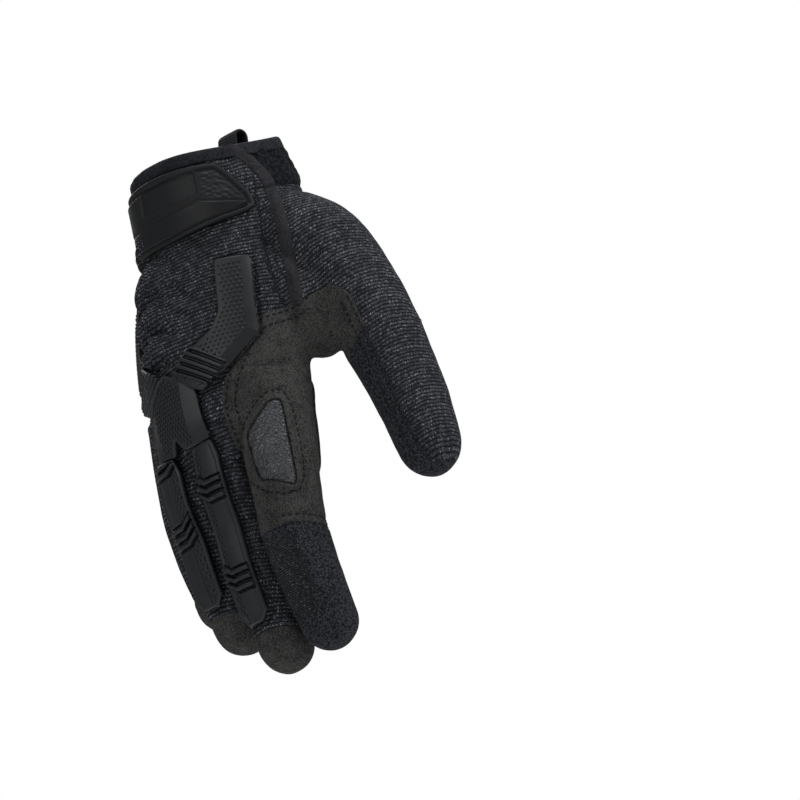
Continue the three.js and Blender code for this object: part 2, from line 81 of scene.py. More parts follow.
# Columns: x, y, z, half width, half depth
INDEX = np.array([
    (34, -8, -106, 13.5, 16), (34.5, -9.5, -138, 14.2, 15.2), (33.3, -8, -156, 13, 13.8),
    (32.3, -5.5, -175, 12.8, 13), (31.6, 1, -196, 12.3, 12.3), (31, 7, -211, 11.8, 11),
])
MIDDLE = np.array([
    (7, -13, -106, 13, 15), (7.5, -12, -140, 13, 14), (7, -8, -163, 12.4, 12.8),
    (6.2, -4, -186, 12.3, 12.3), (5, 3.5, -213, 11.6, 10.8),
])
RING = np.array([
    (-19, -12, -106, 13, 15), (-19, -11, -140, 12.8, 13.6), (-20, -6, -160, 12.3, 12.6),
    (-21, -2.5, -178, 12, 12), (-21.8, 3.5, -196, 11.2, 10.8),
])
LITTLE = np.array([
    (-41, 0, -100, 10.5, 13), (-43.5, 1.5, -134, 10.2, 11.6), (-44.3, 5, -154, 9.8, 10.8),
    (-43.8, 12, -178, 9.3, 9.5),
])
FINGERS = (LITTLE, RING, MIDDLE, INDEX)
THUMB = np.array([
    (23, 7, -33, 16, 18), (41, 17, -47, 20, 21), (55, 23, -69, 18.5, 18.5), (64.5, 27, -90, 16.8, 16.5),
    (71.5, 29.5, -111, 15.2, 15.2), (78, 31, -131, 14.2, 14), (82.5, 31.5, -148, 12.8, 12.6),
])
WEB = np.array([(30, 0, -50, 10, 14), (43, 7, -74, 14, 14), (48.5, 11, -91, 9.5, 9.5)])

# Outlines: across and up, seen from the back or through the palm
HEEL_PAD = [(-5, -29), (14, -27), (48, -66), (32, -94), (-4, -84), (-8, -76)]
SIDE_PAD = [(-40, -33), (-20, -31), (-16, -86), (-22, -92), (-47, -84), (-48, -62)]
REINFORCEMENT = [
    (-14, -98), (28, -97), (42, -108), (46, -124), (44, -148), (30, -151), (26, -136), (20, -129),
    (15, -134), (10, -146), (-1, -146), (-5, -134), (-8, -130), (-12, -134), (-15, -145), (-25, -145),
    (-30, -132), (-34, -127), (-39, -136), (-50, -134), (-50, -112), (-38, -101),
]
GUSSET = [(44, -76), (33, -92), (25, -108), (21, -122), (20.6, -300), (130, -300), (130, -76)]
THUMB_TIP_SIDE = [(50, -112), (78, -91), (125, -91), (125, -200), (50, -200)]
THUMB_OUTER_EDGE = [(39, 10), (39, -20), (62, -55), (74, -86), (84, -123), (92, -170), (130, -170), (130, 10)]
THUMB_SPLIT_Y = 27.0
INDEX_SEAM_Z = -174.0
INDEX_BACK = [(20.5, -176.5), (42.5, -176.5), (41.5, -203), (37, -211), (31.5, -214), (26, -211), (21, -203)]
INDEX_BACK_STITCHES = [
    (21.5, -178), (22.5, -203), (26.5, -210), (31.5, -212.5), (36.5, -210), (40.5, -203), (41.5, -178),
]
# Left, right and top of the suede caps on the middle, ring and little fingers
CAPS = [(-8, 20, -210), (-33, -8, -194), (-70, -33, -176)]
# Outlines: across and up, seen from the side view
ARM = [(-1, -53), (14, -54), (13, -89), (-3, -102), (-13, -108), (-26, -98), (-18, -90), (-6, -83), (-2, -76)]
ARM_OUTER = [(14.5, -53), (13.2, -89), (-3, -102), (-13, -108.5)]
SIDE_PAD_D = [(13, -121), (18, -121), (20, -159), (5, -153), (2, -133)]
WELT_PATH = [(8, 1), (14, -4.5), (19.5, -9), (25, -17), (27.5, -31), (29, -46), (30, -62), (30.5, -77)]
THUMB_SIDE = [
    (25.7, 0), (120, 0), (120, -190), (77, -162), (68, -134), (62, -110), (56, -90), (53, -78), (44, -72),
    (31, -79), (27, -62), (26, -44),
]
GUARD_AXIS_X = -7.0
CROTCH = np.array([47.0, 4.0, -84.0])
CROTCH_SIZE = np.array([20.0, 24.0, 24.0])
PLATE_HALF = [(0, -93), (10, -99), (19, -106), (20, -127), (4, -127), (0, -121)]
# Middle, end and half width of the finger bars
MIDDLE_BAR = (6.4, -206.0, 8.0)
RING_BAR = (-20.4, -190.0, 7.75)
BAR_TOP = -127.3
# The gusset's edge as seen from the side view, and the thumb's
GUSSET_GUIDE = [(30, -72), (22, -76), (2, -92), (-4.6, -108), (-7.2, -122), (-5, -140), (2, -168)]


class Slot(Enum):
    """The record's finish slots."""

    KNIT = "knit"
    SUEDE = "suede"
    FABRIC = "textured_fabric"
    RUBBER = "guard_rubber"
    GRAIN = "leather_grain"
    WEBBING = "webbing"


class Side(Enum):
    """Where a flat outline is laid on the glove from, with its turn round from the back in degrees."""

    BACK = 0.0
    VIEW = VIEW_TURN
    FAR = -VIEW_TURN
    PALM = 180.0


def across_of(side: Side) -> Array:
    """Unit direction that an outline's first column runs along."""
    turn = math.radians(0.0 if side is Side.PALM else side.value)
    return np.array([math.cos(turn), math.sin(turn), 0.0])


def outward_of(side: Side) -> Array:
    """Unit direction that points from the glove to the eye on that side."""
    turn = math.radians(side.value)
    return np.array([math.sin(turn), -math.cos(turn), 0.0])


# Surfaces ---------------------------------------------------------------------------------------------


def unit(vectors: Array) -> Array:
    """Vectors brought to length one along the last axis."""
    return vectors / np.maximum(np.linalg.norm(vectors, axis=-1, keepdims=True), 1e-9)


def smoothstep(low: float, high: float, value: Array) -> Array:
    """0 below low, 1 above high and a smooth cubic between."""
    t = np.clip((value - low) / (high - low), 0, 1)
    return t * t * (3 - 2 * t)


def vertex_normals(points: Array, tris: Array) -> Array:
    """Area-weighted sum of the triangles' cross products at each point, brought to length one.

    Args:
        points: places in mm.
        tris: triangles.

    Returns:
        Unit normals at the points.
    """
    a, b, c = points[tris[:, 0]], points[tris[:, 1]], points[tris[:, 2]]
    cross = np.cross(b - a, c - a)
    total = np.stack([
        sum(np.bincount(tris[:, k], cross[:, axis], len(points)) for k in range(3)) for axis in range(3)
    ], 1)
    return unit(total)


def edges_of(tris: Array) -> tuple[Array, Array]:
    """Every edge once, and how many triangles share it.

    Args:
        tris: triangles as rows of three point numbers.

    Returns:
        Edges as sorted pairs, and the count of each.
    """
    pairs = np.sort(np.concatenate([tris[:, [0, 1]], tris[:, [1, 2]], tris[:, [2, 0]]]), 1)
    return np.unique(pairs, axis=0, return_counts=True)


def border_of(tris: Array) -> Array:
    """Directed edges that only one triangle has, in that triangle's direction."""
    directed = np.concatenate([tris[:, [0, 1]], tris[:, [1, 2]], tris[:, [2, 0]]])
    key = np.sort(directed, 1)
    _, inverse, count = np.unique(key, axis=0, return_inverse=True, return_counts=True)
    return directed[count[inverse.ravel()] == 1]


def relaxed(points: Array, tris: Array, rounds: int, steps: tuple = (0.55, -0.57),
            share: Array | float = 1.0) -> Array:
    """Each point moves towards the mean of its neighbours and back by slightly more, so that the surface
    is smoothed without shrinking.

    Args:
        points: places in mm.
        tris: triangles.
        rounds: how many times both moves are made.
        steps: share of the way to the mean that each move goes.
        share: how much of each move each point makes.

    Returns:
        The smoothed places.
    """
    edges, _ = edges_of(tris)
    ends = np.concatenate([edges, edges[:, ::-1]])
    count = np.bincount(ends[:, 0], minlength=len(points))[:, None]
    for _ in range(rounds):
        for step in steps:
            total = np.stack([
                np.bincount(ends[:, 0], points[ends[:, 1], axis], len(points)) for axis in range(3)
            ], 1)
            points = points + share * step * (total / np.maximum(count, 1) - points)
    return points


@dataclass
class Surface:
    """A triangulated surface in mm.

    Attributes:
        points: places.
        tris: triangles, anticlockwise seen from outside.
        normals: unit normals at the points.
        weave: two lengths in mm that follow the cloth, round the limb and along it.
    """

    points: Array
    tris: Array
    normals: Array
    weave: Array

    def part(self, value: Array) -> "Surface":
        """The part where value is above zero, cut along the line where it is zero: a triangle with one
        corner on the far side is cut by a straight line between its two crossed edges.

        Args:
            value: one number a point.

        Returns:
            The cut surface, with all it holds interpolated along the cut.
        """
        inside = value > 0
        tris = self.tris
        count = inside[tris].sum(1)
        whole = tris[count == 3]
        cut = tris[(count == 1) | (count == 2)]
        single = inside[cut].sum(1) == 1
        odd = (inside[cut] == single[:, None]).argmax(1)
        turn = (odd[:, None] + np.arange(3)) % 3
        a, b, c = cut[np.arange(len(cut))[:, None], turn].T
        pairs = np.sort(np.concatenate([np.stack([a, b], 1), np.stack([a, c], 1)]), 1)
        unique, inverse = np.unique(pairs, axis=0, return_inverse=True)
        inverse = inverse.ravel()
        low, high = value[unique[:, 0]], value[unique[:, 1]]
        t = np.clip(low / np.where(np.abs(low - high) < 1e-9, 1e-9, low - high), 0.02, 0.98)[:, None]
        columns = np.hstack([self.points, self.normals, self.weave])
        fresh = columns[unique[:, 0]] * (1 - t) + columns[unique[:, 1]] * t
        columns = np.vstack([columns, fresh])
        ab, ac = len(self.points) + inverse[: len(cut)], len(self.points) + inverse[len(cut):]
        one = np.stack([a, ab, ac], 1)[single]
        two = np.concatenate([np.stack([ab, b, c], 1)[~single], np.stack([ab, c, ac], 1)[~single]])
        tris = np.concatenate([whole, one, two])
        used, inverse = np.unique(tris, return_inverse=True)
        columns = columns[used]
        return Surface(columns[:, :3], inverse.reshape(-1, 3), unit(columns[:, 3:6]), columns[:, 6:8])

    def finer(self, rounds: int = 1) -> "Surface":
        """Each triangle in four: a new point is the middle of its edge, moved onto the mean of the tangent
        planes at the edge's ends, so that a curved surface stays curved.

        Args:
            rounds: how many times to do it.

        Returns:
            The finer surface.
        """
        if rounds == 0:
            return self
        tris = self.tris
        pairs = np.sort(np.concatenate([tris[:, [0, 1]], tris[:, [1, 2]], tris[:, [2, 0]]]), 1)
        unique, inverse = np.unique(pairs, axis=0, return_inverse=True)
        inverse = inverse.ravel()
        a, b = unique.T
        middle = (self.points[a] + self.points[b]) / 2
        lift_a = ((self.points[a] - middle) * self.normals[a]).sum(1, keepdims=True) * self.normals[a]
        lift_b = ((self.points[b] - middle) * self.normals[b]).sum(1, keepdims=True) * self.normals[b]
        middle = middle + 0.375 * (lift_a + lift_b)
        n = len(tris)
        ab, bc, ca = (len(self.points) + inverse[k * n:(k + 1) * n] for k in range(3))
        new = np.concatenate([
            np.stack([tris[:, 0], ab, ca], 1), np.stack([tris[:, 1], bc, ab], 1),
            np.stack([tris[:, 2], ca, bc], 1), np.stack([ab, bc, ca], 1),
        ])
        finer = Surface(
            np.vstack([self.points, middle]), new,
            unit(np.vstack([self.normals, self.normals[a] + self.normals[b]])),
            np.vstack([self.weave, (self.weave[a] + self.weave[b]) / 2]),
        )
        return finer.finer(rounds - 1)

    def raised(self, height: Array | float) -> "Surface":
        """The same surface with each point moved along its normal by height, and new normals."""
        points = self.points + self.normals * np.reshape(height, (-1, 1))
        return Surface(points, self.tris, vertex_normals(points, self.tris), self.weave)

    def across(self, side: Side) -> Array:
        """Each point's place along the outlines' first column on that side."""
        return self.points @ across_of(side)

    def facing(self, side: Side) -> Array:
        """How squarely each point faces that side, from -1 to 1."""
        return self.normals @ outward_of(side)


def splined(rows: Array, steps: int) -> Array:
    """Catmull-Rom curve through the rows: every column runs smoothly from row to row.

    Args:
        rows: the rows that it passes through.
        steps: how many points it has.

    Returns:
        The points of the curve.
    """
    ends = np.vstack([2 * rows[0] - rows[1], rows, 2 * rows[-1] - rows[-2]])
    t = np.linspace(0, len(rows) - 1, steps)
    i = np.minimum(t.astype(int), len(rows) - 2)
    f = (t - i)[:, None]
    p0, p1, p2, p3 = ends[i], ends[i + 1], ends[i + 2], ends[i + 3]
    return 0.5 * (2 * p1 + (p2 - p0) * f + (2 * p0 - 5 * p1 + 4 * p2 - p3) * f**2
                  + (3 * p1 - p0 - 3 * p2 + p3) * f**3)


def section(sides: int) -> tuple[Array, Array]:
    """A rounded section of half width and half depth one: cosine and sine, each to the power 2/2.4.

    Args:
        sides: points round the section.

    Returns:
        The two coordinates of the points.
    """
    turn = np.linspace(0, 2 * np.pi, sides, endpoint=False)
    power = 2 / SQUARENESS
    cos, sin = np.cos(turn), np.sin(turn)
    return np.sign(cos) * np.abs(cos) ** power, np.sign(sin) * np.abs(sin) ** power


def tube_faces(rings: int, sides: int) -> Array:
    """Triangles of a closed tube of rings, with a fan to one middle point at each end. The two middle
    points come after the rings.

    Args:
        rings: number of rings.
        sides: points round each ring.

    Returns:
        Triangles of point numbers.
    """
    i, j = np.meshgrid(np.arange(rings - 1), np.arange(sides), indexing="ij")
    a, b = i * sides + j, i * sides + (j + 1) % sides
    c, d = a + sides, b + sides
    wall = np.concatenate([np.stack([a, b, d], -1).reshape(-1, 3), np.stack([a, d, c], -1).reshape(-1, 3)])
    j = np.arange(sides)
    k = (j + 1) % sides
    first, last = rings * sides, rings * sides + 1
    start = np.stack([np.full(sides, first), k, j], 1)
    end = np.stack([np.full(sides, last), (rings - 1) * sides + j, (rings - 1) * sides + k], 1)
    return np.concatenate([wall, start, end])


def grid_faces(rows: int, count: int, closed: bool) -> Array:
    """Two triangles for each cell of a grid.

    Args:
        rows: points along the first way.
        count: points along the second way.
        closed: whether both ways run round to their start.

    Returns:
        Triangles of point numbers, row by row.
    """
    last = 0 if closed else 1
    i, j = np.meshgrid(np.arange(rows - last), np.arange(count - last), indexing="ij")
    below, beyond = (i + 1) % rows, (j + 1) % count
    a, b, c, d = i * count + j, below * count + j, i * count + beyond, below * count + beyond
    halves = [np.stack([a, b, d], -1), np.stack([a, d, c], -1)]
    return np.concatenate([half.reshape(-1, 3) for half in halves])


def with_dome(rows: Array, along: Array, length: float) -> Array:
    """Adds rows that round off the end: widths follow a cosine while the place follows a sine.

    Args:
        rows: x, y, z and widths of the tube.
        along: unit direction of its end.
        length: length of the dome.

    Returns:
        The rows with those of the dome.
    """
    turns = np.radians(np.linspace(8, 86, 10))[:, None]
    extra = np.repeat(rows[-1:], len(turns), 0)
    extra[:, :3] += along * length * np.sin(turns)
    extra[:, 3:5] *= np.cos(turns)
    return np.vstack([rows, extra])


def limb_points(table: Array, tip: float, sides: int = 72) -> tuple[Array, int]:
    """A finger or the thumb: rounded sections square to a smooth path, closed by a dome.

    Args:
        table: rows of x, y, z, half width and half depth.
        tip: length of the dome.
        sides: points round each section.

    Returns:
        The points with the two end points last, and the number of rings.
    """
    rows = splined(table, 12 * len(table))
    along = unit(np.gradient(rows[:, :3], axis=0))
    rows = with_dome(rows, along[-1], tip)
    along = np.vstack([along, np.repeat(along[-1:], len(rows) - len(along), 0)])
    through = np.array([0.0, 1.0, 0.0]) - along * along[:, 1:2]
    through = unit(through)
    across = np.cross(through, along)
    cos, sin = section(sides)
    points = (
        rows[:, None, :3] + across[:, None] * (rows[:, 3:4] * cos)[..., None]
        + through[:, None] * (rows[:, 4:5] * sin)[..., None]
    )
    ends = np.stack([rows[0, :3], rows[-1, :3] + along[-1] * 0.1])
    return np.vstack([points.reshape(-1, 3), ends]), len(rows)


def leaned(x: Array, y: Array, z: Array, crown: Array | float = 0.0) -> Array:
    """Levels rise towards the palm at the wrist, and by the crown at the middle of back and palm.

    Args:
        x: across.
        y: through.
        z: level before it is leaned.
        crown: rise at the middle of back and palm.

    Returns:
        The leaned places.
    """
    fade = np.clip(1 + (z - WRIST_Z) / LEAN_FADE, 0, 1)
    lift = LEAN * y * fade + crown * (1 - (x / CROWN_REACH) ** 2)
    return np.stack(np.broadcast_arrays(x, y, z + lift), -1)


def hand_points(sides: int = 144) -> tuple[Array, int]:
    """The hand with its cuff: level sections, arched as depth + arch * (x - 6)^2, closed by a dome.

    Args:
        sides: points round each section.

    Returns:
        The points with the two end points last, and the number of rings.
    """
    rows = splined(HAND, 110)
    rows = with_dome(rows, np.array([0.0, 0.0, -1.0]), 7)
    cos, sin = section(sides)
    x = rows[:, :1] + rows[:, 3:4] * cos
    y = rows[:, 1:2] + rows[:, 4:5] * sin + rows[:, 5:6] * (x - ARCH_X) ** 2
    points = leaned(x, y, np.repeat(rows[:, 2:3], sides, 1), rows[:, 6:7])
    ends = np.stack([points[0].mean(0), points[-1].mean(0) - [0, 0, 0.1]])
    return np.vstack([points.reshape(-1, 3), ends]), len(rows)


def smooth_noise(points: Array, size: float, seed: int) -> Array:
    """Soft lumps of about the given size: the mean of 16 plane waves in seeded directions, -1 to 1.

    Args:
        points: places in mm.
        size: size of a lump in mm.
        seed: seed of the directions.

    Returns:
        One number a point.
    """
    rng = np.random.default_rng(seed)
    waves = unit(rng.normal(size=(16, 3))) * (2 * np.pi / (size * rng.uniform(0.8, 1.6, (16, 1))))
    return np.sin(points @ waves.T + rng.uniform(0, 2 * np.pi, 16)).mean(1) * 2.2


# Outlines ---------------------------------------------------------------------------------------------


def rounded(outline: list, rounds: int = 2, closed: bool = True, cut: float = 0.22) -> Array:
    """Cuts each corner at that share of its edges, round after round, until it is a smooth curve.

    Args:
        outline: its corners.
        rounds: how many times the corners are cut.
        closed: whether it runs round to its start.
        cut: share of an edge that a cut takes.

    Returns:
        The smooth outline.
    """
    points = np.asarray(outline, float)
    for _ in range(rounds):
        after = np.roll(points, -1, 0)
        a, b = points * (1 - cut) + after * cut, points * cut + after * (1 - cut)
        new = np.stack([a, b], 1)
        if closed:
            points = new.reshape(-1, 2)
        else:
            points = np.vstack([points[:1], new[:-1].reshape(-1, 2), points[-1:]])
    return points


def grown(outline: Array, distance: float) -> Array:
    """An outline with each edge moved outwards by distance, corners mitred.

    Args:
        outline: across and up of a closed outline.
        distance: how far outwards, or inwards where negative.

    Returns:
        The moved outline.
    """
    points = np.asarray(outline, float)
    area = (points[:, 0] * np.roll(points[:, 1], -1) - np.roll(points[:, 0], -1) * points[:, 1]).sum()
    a = unit(points - np.roll(points, 1, 0))
    b = unit(np.roll(points, -1, 0) - points)
    normal = unit(np.stack([a[:, 1] + b[:, 1], -a[:, 0] - b[:, 0]], 1)) * np.sign(area)
    miter = 1 / np.maximum(0.45, np.abs(normal[:, 0] * a[:, 1] - normal[:, 1] * a[:, 0]))
    return points + normal * (distance * miter)[:, None]


def path_distance(path: Array, across: Array, up: Array) -> Array:
    """Distance in mm from each place to the nearest point of a path of straight pieces.

    Args:
        path: across and up of its corners.
        across: the places, first column.
        up: the places, second column.

    Returns:
        One distance a place.
    """
    places = np.stack([across, up], 1)
    best = np.full(len(places), 1e9)
    for start, end in zip(path[:-1], path[1:]):
        edge = end - start
        t = np.clip((places - start) @ edge / max(edge @ edge, 1e-9), 0, 1)
        best = np.minimum(best, np.hypot(*(places - start - t[:, None] * edge).T))
    return best


def within(outline: Array, across: Array, up: Array) -> Array:
    """Distance from each place to a closed outline, positive inside and negative outside.

    Args:
        outline: across and up of its corners.
        across: the places, first column.
        up: the places, second column.

    Returns:
        One distance a place.
    """
    outline = np.asarray(outline, float)
    ends = np.roll(outline, -1, 0)
    crossings = np.zeros(len(across), int)
    for (ax, ay), (bx, by) in zip(outline, ends):
        if ay != by:
            crossings += ((ay > up) != (by > up)) & (across < (bx - ax) * (up - ay) / (by - ay) + ax)
    distance = path_distance(np.vstack([outline, outline[:1]]), across, up)
    return np.where(crossings % 2 == 1, distance, -distance)


def stepped(path: Array, step: float, closed: bool = False) -> Array:
    """Points along a path at an even distance.

    Args:
        path: its corners.
        step: about how far apart the points are.
        closed: whether it runs round to its start.

    Returns:
        The points.
    """
    if closed:
        path = np.vstack([path, path[:1]])
    length = np.r_[0, np.cumsum(np.linalg.norm(np.diff(path, axis=0), axis=1))]
    places = np.linspace(0, length[-1], max(2, round(length[-1] / step) + 1))
    return np.stack([np.interp(places, length, path[:, k]) for k in range(path.shape[1])], 1)


# Meshes -----------------------------------------------------------------------------------------------


def mesh_object(name: str, points: Array, tris: Array, weave: Array | None = None,
                sharp: Array | None = None) -> bpy.types.Object:
    """A Blender object at the origin from places in mm.

    Args:
        name: the piece's name.
        points: places in mm.
        tris: triangles.
        weave: two lengths a point, kept as the UV map "weave".
        sharp: pairs of points whose edge is a hard one.

    Returns:
        The object, smooth shaded, with metres in its mesh.
    """
    mesh = bpy.data.meshes.new(name)
    mesh.vertices.add(len(points))
    mesh.vertices.foreach_set("co", (points * MM).astype(np.float32).ravel())
    mesh.loops.add(3 * len(tris))
    mesh.loops.foreach_set("vertex_index", tris.astype(np.int32).ravel())
    mesh.polygons.add(len(tris))
    mesh.polygons.foreach_set("loop_start", np.arange(0, 3 * len(tris), 3, dtype=np.int32))
    mesh.polygons.foreach_set("use_smooth", np.ones(len(tris), bool))
    mesh.update(calc_edges=True)
    if weave is not None:
        layer = mesh.uv_layers.new(name="weave")
        layer.uv.foreach_set("vector", weave[tris.ravel()].astype(np.float32).ravel())
    if sharp is not None and len(sharp):
        pairs = np.zeros(2 * len(mesh.edges), np.int32)
        mesh.edges.foreach_get("vertices", pairs)
        key = np.sort(pairs.reshape(-1, 2).astype(np.int64), 1) @ np.array([len(points), 1])
        wanted = np.sort(sharp.astype(np.int64), 1) @ np.array([len(points), 1])
        attribute = mesh.attributes.new("sharp_edge", "BOOLEAN", "EDGE")
        attribute.data.foreach_set("value", np.isin(key, wanted))
    piece = bpy.data.objects.new(name, mesh)
    bpy.context.scene.collection.objects.link(piece)
    return piece


def closed_shell(top: Array, bottom: Array, tris: Array) -> tuple[Array, Array, Array]:
    """A closed body between two layers with the same triangles: the top, the bottom turned over, and a
    wall along the border.

    Args:
        top: places of the outer layer.
        bottom: places of the inner layer.
        tris: the triangles of both.

    Returns:
        Points, triangles and the pairs of points along the wall's two edges.
    """
    n = len(top)
    border = border_of(tris)
    a, b = border.T
    wall = np.concatenate([np.stack([b, a, a + n], 1), np.stack([b, a + n, b + n], 1)])
    faces = np.concatenate([tris, tris[:, ::-1] + n, wall])
    return np.vstack([top, bottom]), faces, np.concatenate([border, border + n])


def lightened(piece: bpy.types.Object) -> None:
    """Takes triangles out of a dense mesh where its surface is flat, as a modifier that is applied.

    Args:
        piece: the object, whose mesh is replaced.
    """
    count = len(piece.data.polygons)
    if count < DENSE:
        return
    fewer = piece.modifiers.new("fewer", "DECIMATE")
    fewer.ratio = min(KEPT_SHARE, KEPT_MOST / count)
    made = bpy.data.meshes.new_from_object(piece.evaluated_get(bpy.context.evaluated_depsgraph_get()))
    piece.modifiers.clear()
    dense, piece.data = piece.data, made
    bpy.data.meshes.remove(dense)


def dress(piece: bpy.types.Object, finish: bpy.types.Material, nodes: tuple = ()) -> None:
    """Thins a dense piece, gives it its finish and the body that it rides on, and hides the solids it stands
    for.

    Args:
        piece: the object.
        finish: its material.
        nodes: the solids that it stands for.
    """
    lightened(piece)
    piece.data.materials.append(finish)
    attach(piece, "root")
    if nodes:
        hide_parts(*nodes)
    log.info("%s: %d triangles", piece.name, len(piece.data.polygons))


def shell_piece(name: str, top: Surface, depth: Array | float, finish: bpy.types.Material,
                nodes: tuple = (), base: Surface | None = None) -> bpy.types.Object:
    """A closed piece under a surface.

    Args:
        name: the piece's name.
        top: its outer surface.
        depth: how far its inner surface lies under base, or under top where there is no base.
        finish: its material.
        nodes: the solids it replaces.
        base: the surface that depth is measured from, with the same triangles.

    Returns:
        The piece.
    """
    under = base or top
    bottom = under.points - under.normals * np.reshape(depth, (-1, 1))
    points, tris, sharp = closed_shell(top.points, bottom, top.tris)
    piece = mesh_object(name, points, tris, np.vstack([top.weave, top.weave]), sharp)
    dress(piece, finish, nodes)
    return piece


def seam_line(surface: Surface, value: Array, side: Side, guide: Array) -> Array:
    """Where a field is zero, as seen from a side: the crossings of the surface's edges near a guide, put
    in order along it and averaged every 1.5 mm.

    Args:
        surface: the surface.
        value: one number a point.
        side: the side it is seen from.
        guide: a rough path, across and up.

    Returns:
        Across and up of the line's points.
    """
    edges, _ = edges_of(surface.tris)
    a, b = edges.T
    crossed = (value[a] > 0) != (value[b] > 0)
    a, b = a[crossed], b[crossed]
    t = (value[a] / (value[a] - value[b]))[:, None]
    places = surface.points[a] * (1 - t) + surface.points[b] * t
    facing = surface.facing(side)
    flat = np.stack([places @ across_of(side), places[:, 2]], 1)
    fine = stepped(np.asarray(guide, float), 0.5)
    gap = ((flat[:, None] - fine[None]) ** 2).sum(-1)
    near = gap.argmin(1)
    use = (facing[a] > 0.02) & (gap.min(1) < 9**2) & (near > 0) & (near < len(fine) - 1)
    slot, flat = near[use] // 3, flat[use]
    count = np.bincount(slot)
    mean = np.stack([np.bincount(slot, flat[:, k]) for k in range(2)], 1) / np.maximum(count, 1)[:, None]
    return mean[count > 0]


def beside(path: Array, distance: float) -> Array:
    """An open path moved sideways, to its left for a positive distance.

    Args:
        path: across and up of its points.
        distance: how far to the left, or to the right where negative.

    Returns:
        The moved path.
    """
    smooth = path.copy()
    for _ in range(3):
        smooth[1:-1] = (smooth[:-2] + 2 * smooth[1:-1] + smooth[2:]) / 4
    along = unit(np.gradient(smooth, axis=0))
    return smooth + distance * np.stack([-along[:, 1], along[:, 0]], 1)


class Drape:
    """Lays flat paths on a surface."""

    def __init__(self, surface: Surface) -> None:
        """Keeps the surface as a search tree."""
        self.tree = BVHTree.FromPolygons(surface.points.tolist(), surface.tris.tolist())

    def laid(self, path: Array, side: Side, sink: float = 0.0) -> tuple[Array, Array]:
        """Where rays square to that side, through the path's points, meet the surface.

        Args:
            path: across and up of each point.
            side: the side the path is drawn on.
            sink: how far under the surface the points end up.

        Returns:
            Places and normals of the rays that hit.
        """
        across, outward = across_of(side), outward_of(side)
        start = path[:, :1] * across + path[:, 1:2] * np.array([0, 0, 1.0]) + outward * 150
        hits = [self.tree.ray_cast(Vector(p), Vector(-outward)) for p in start]
        hits = [(hit[0], hit[1]) for hit in hits if hit[0] is not None]
        places = np.array([tuple(hit[0]) for hit in hits]).reshape(-1, 3)
        normals = np.array([tuple(hit[1]) for hit in hits]).reshape(-1, 3)
        return places - normals * sink, normals


def capsule(sides: int = 6) -> tuple[Array, Array]:
    """A stitch of length and width one along X: rings at the share of the length and the thickness that
    a rounded thread has, closed by a point at each end.

    Args:
        sides: points round the thread.

    Returns:
        Points and triangles.
    """
    rings = np.array([(-0.46, 0.55), (-0.3, 1.0), (0.3, 1.0), (0.46, 0.55)])
    turn = np.linspace(0, 2 * np.pi, sides, endpoint=False)
    points = np.stack([
        np.repeat(rings[:, :1], sides, 1), rings[:, 1:] * np.cos(turn) / 2, rings[:, 1:] * np.sin(turn) / 2,
    ], -1).reshape(-1, 3)
    ends = np.array([(-0.5, 0, 0), (0.5, 0, 0)])
    return np.vstack([points, ends]), tube_faces(len(rings), sides)


def stitches(places: Array, normals: Array, length: float = 1.9, pitch: float = 2.8,
             thick: float = 0.95) -> tuple[Array, Array]:
    """Threads laid end to end along a path, each turned to the path and the surface under it.

    Args:
        places: points along the path.
        normals: the surface's normals there.
        length: length of a stitch.
        pitch: distance from one to the next.
        thick: thickness of the thread.

    Returns:
        Points and triangles.
    """
    gap = np.linalg.norm(np.diff(places, axis=0), axis=1)
    run = np.r_[0, np.cumsum(np.minimum(gap, 6))]
    count = max(1, int(run[-1] / pitch))
    at = (np.arange(count) + 0.5) * run[-1] / count
    centre = np.stack([np.interp(at, run, places[:, k]) for k in range(3)], 1)
    ahead = np.stack([np.interp(at + 0.6, run, places[:, k]) for k in range(3)], 1)
    behind = np.stack([np.interp(at - 0.6, run, places[:, k]) for k in range(3)], 1)
    up = unit(np.stack([np.interp(at, run, normals[:, k]) for k in range(3)], 1))
    along = unit(ahead - behind)
    aside = unit(np.cross(up, along))
    up = np.cross(along, aside)
    shape, faces = capsule()
    points = (
        centre[:, None] + along[:, None] * shape[:, 0:1] * length
        + aside[:, None] * shape[:, 1:2] * thick + up[:, None] * shape[:, 2:3] * thick * 0.8
    )
    tris = faces[None] + (np.arange(count) * len(shape))[:, None, None]
    return points.reshape(-1, 3), tris.reshape(-1, 3)


def joined(parts: list[tuple[Array, Array]]) -> tuple[Array, Array]:
    """Several sets of points and triangles as one."""
    offsets = np.cumsum([0] + [len(p) for p, _ in parts[:-1]])
    return np.vstack([p for p, _ in parts]), np.vstack([t + o for (_, t), o in zip(parts, offsets)])


# Finishes ---------------------------------------------------------------------------------------------


def linear(colour: str) -> tuple[float, float, float, float]:
    """An sRGB hex colour as linear red, green, blue and alpha."""
    values = [int(colour[i:i + 2], 16) / 255 for i in (0, 2, 4)]
    return (*[v / 12.92 if v <= 0.04045 else ((v + 0.055) / 1.055) ** 2.4 for v in values], 1.0)


def add(tree: bpy.types.NodeTree, kind: str, settings: dict | None = None, **inputs) -> bpy.types.Node:
    """Adds a node.

    Args:
        tree: the material's nodes.
        kind: the node's type.
        settings: its properties by name.
        **inputs: a value or another node's socket for each input, by name with _ for a space, or by
            number as i0, i1 and so on.

    Returns:
        The node.
    """
    node = tree.nodes.new(kind)
    for key, value in (settings or {}).items():
        setattr(node, key, value)
    for key, value in inputs.items():
        numbered = key[0] == "i" and key[1:].isdigit()
        socket = node.inputs[int(key[1:]) if numbered else key.replace("_", " ")]
        if isinstance(value, bpy.types.NodeSocket):
            tree.links.new(value, socket)
        else:
            socket.default_value = value
    return node


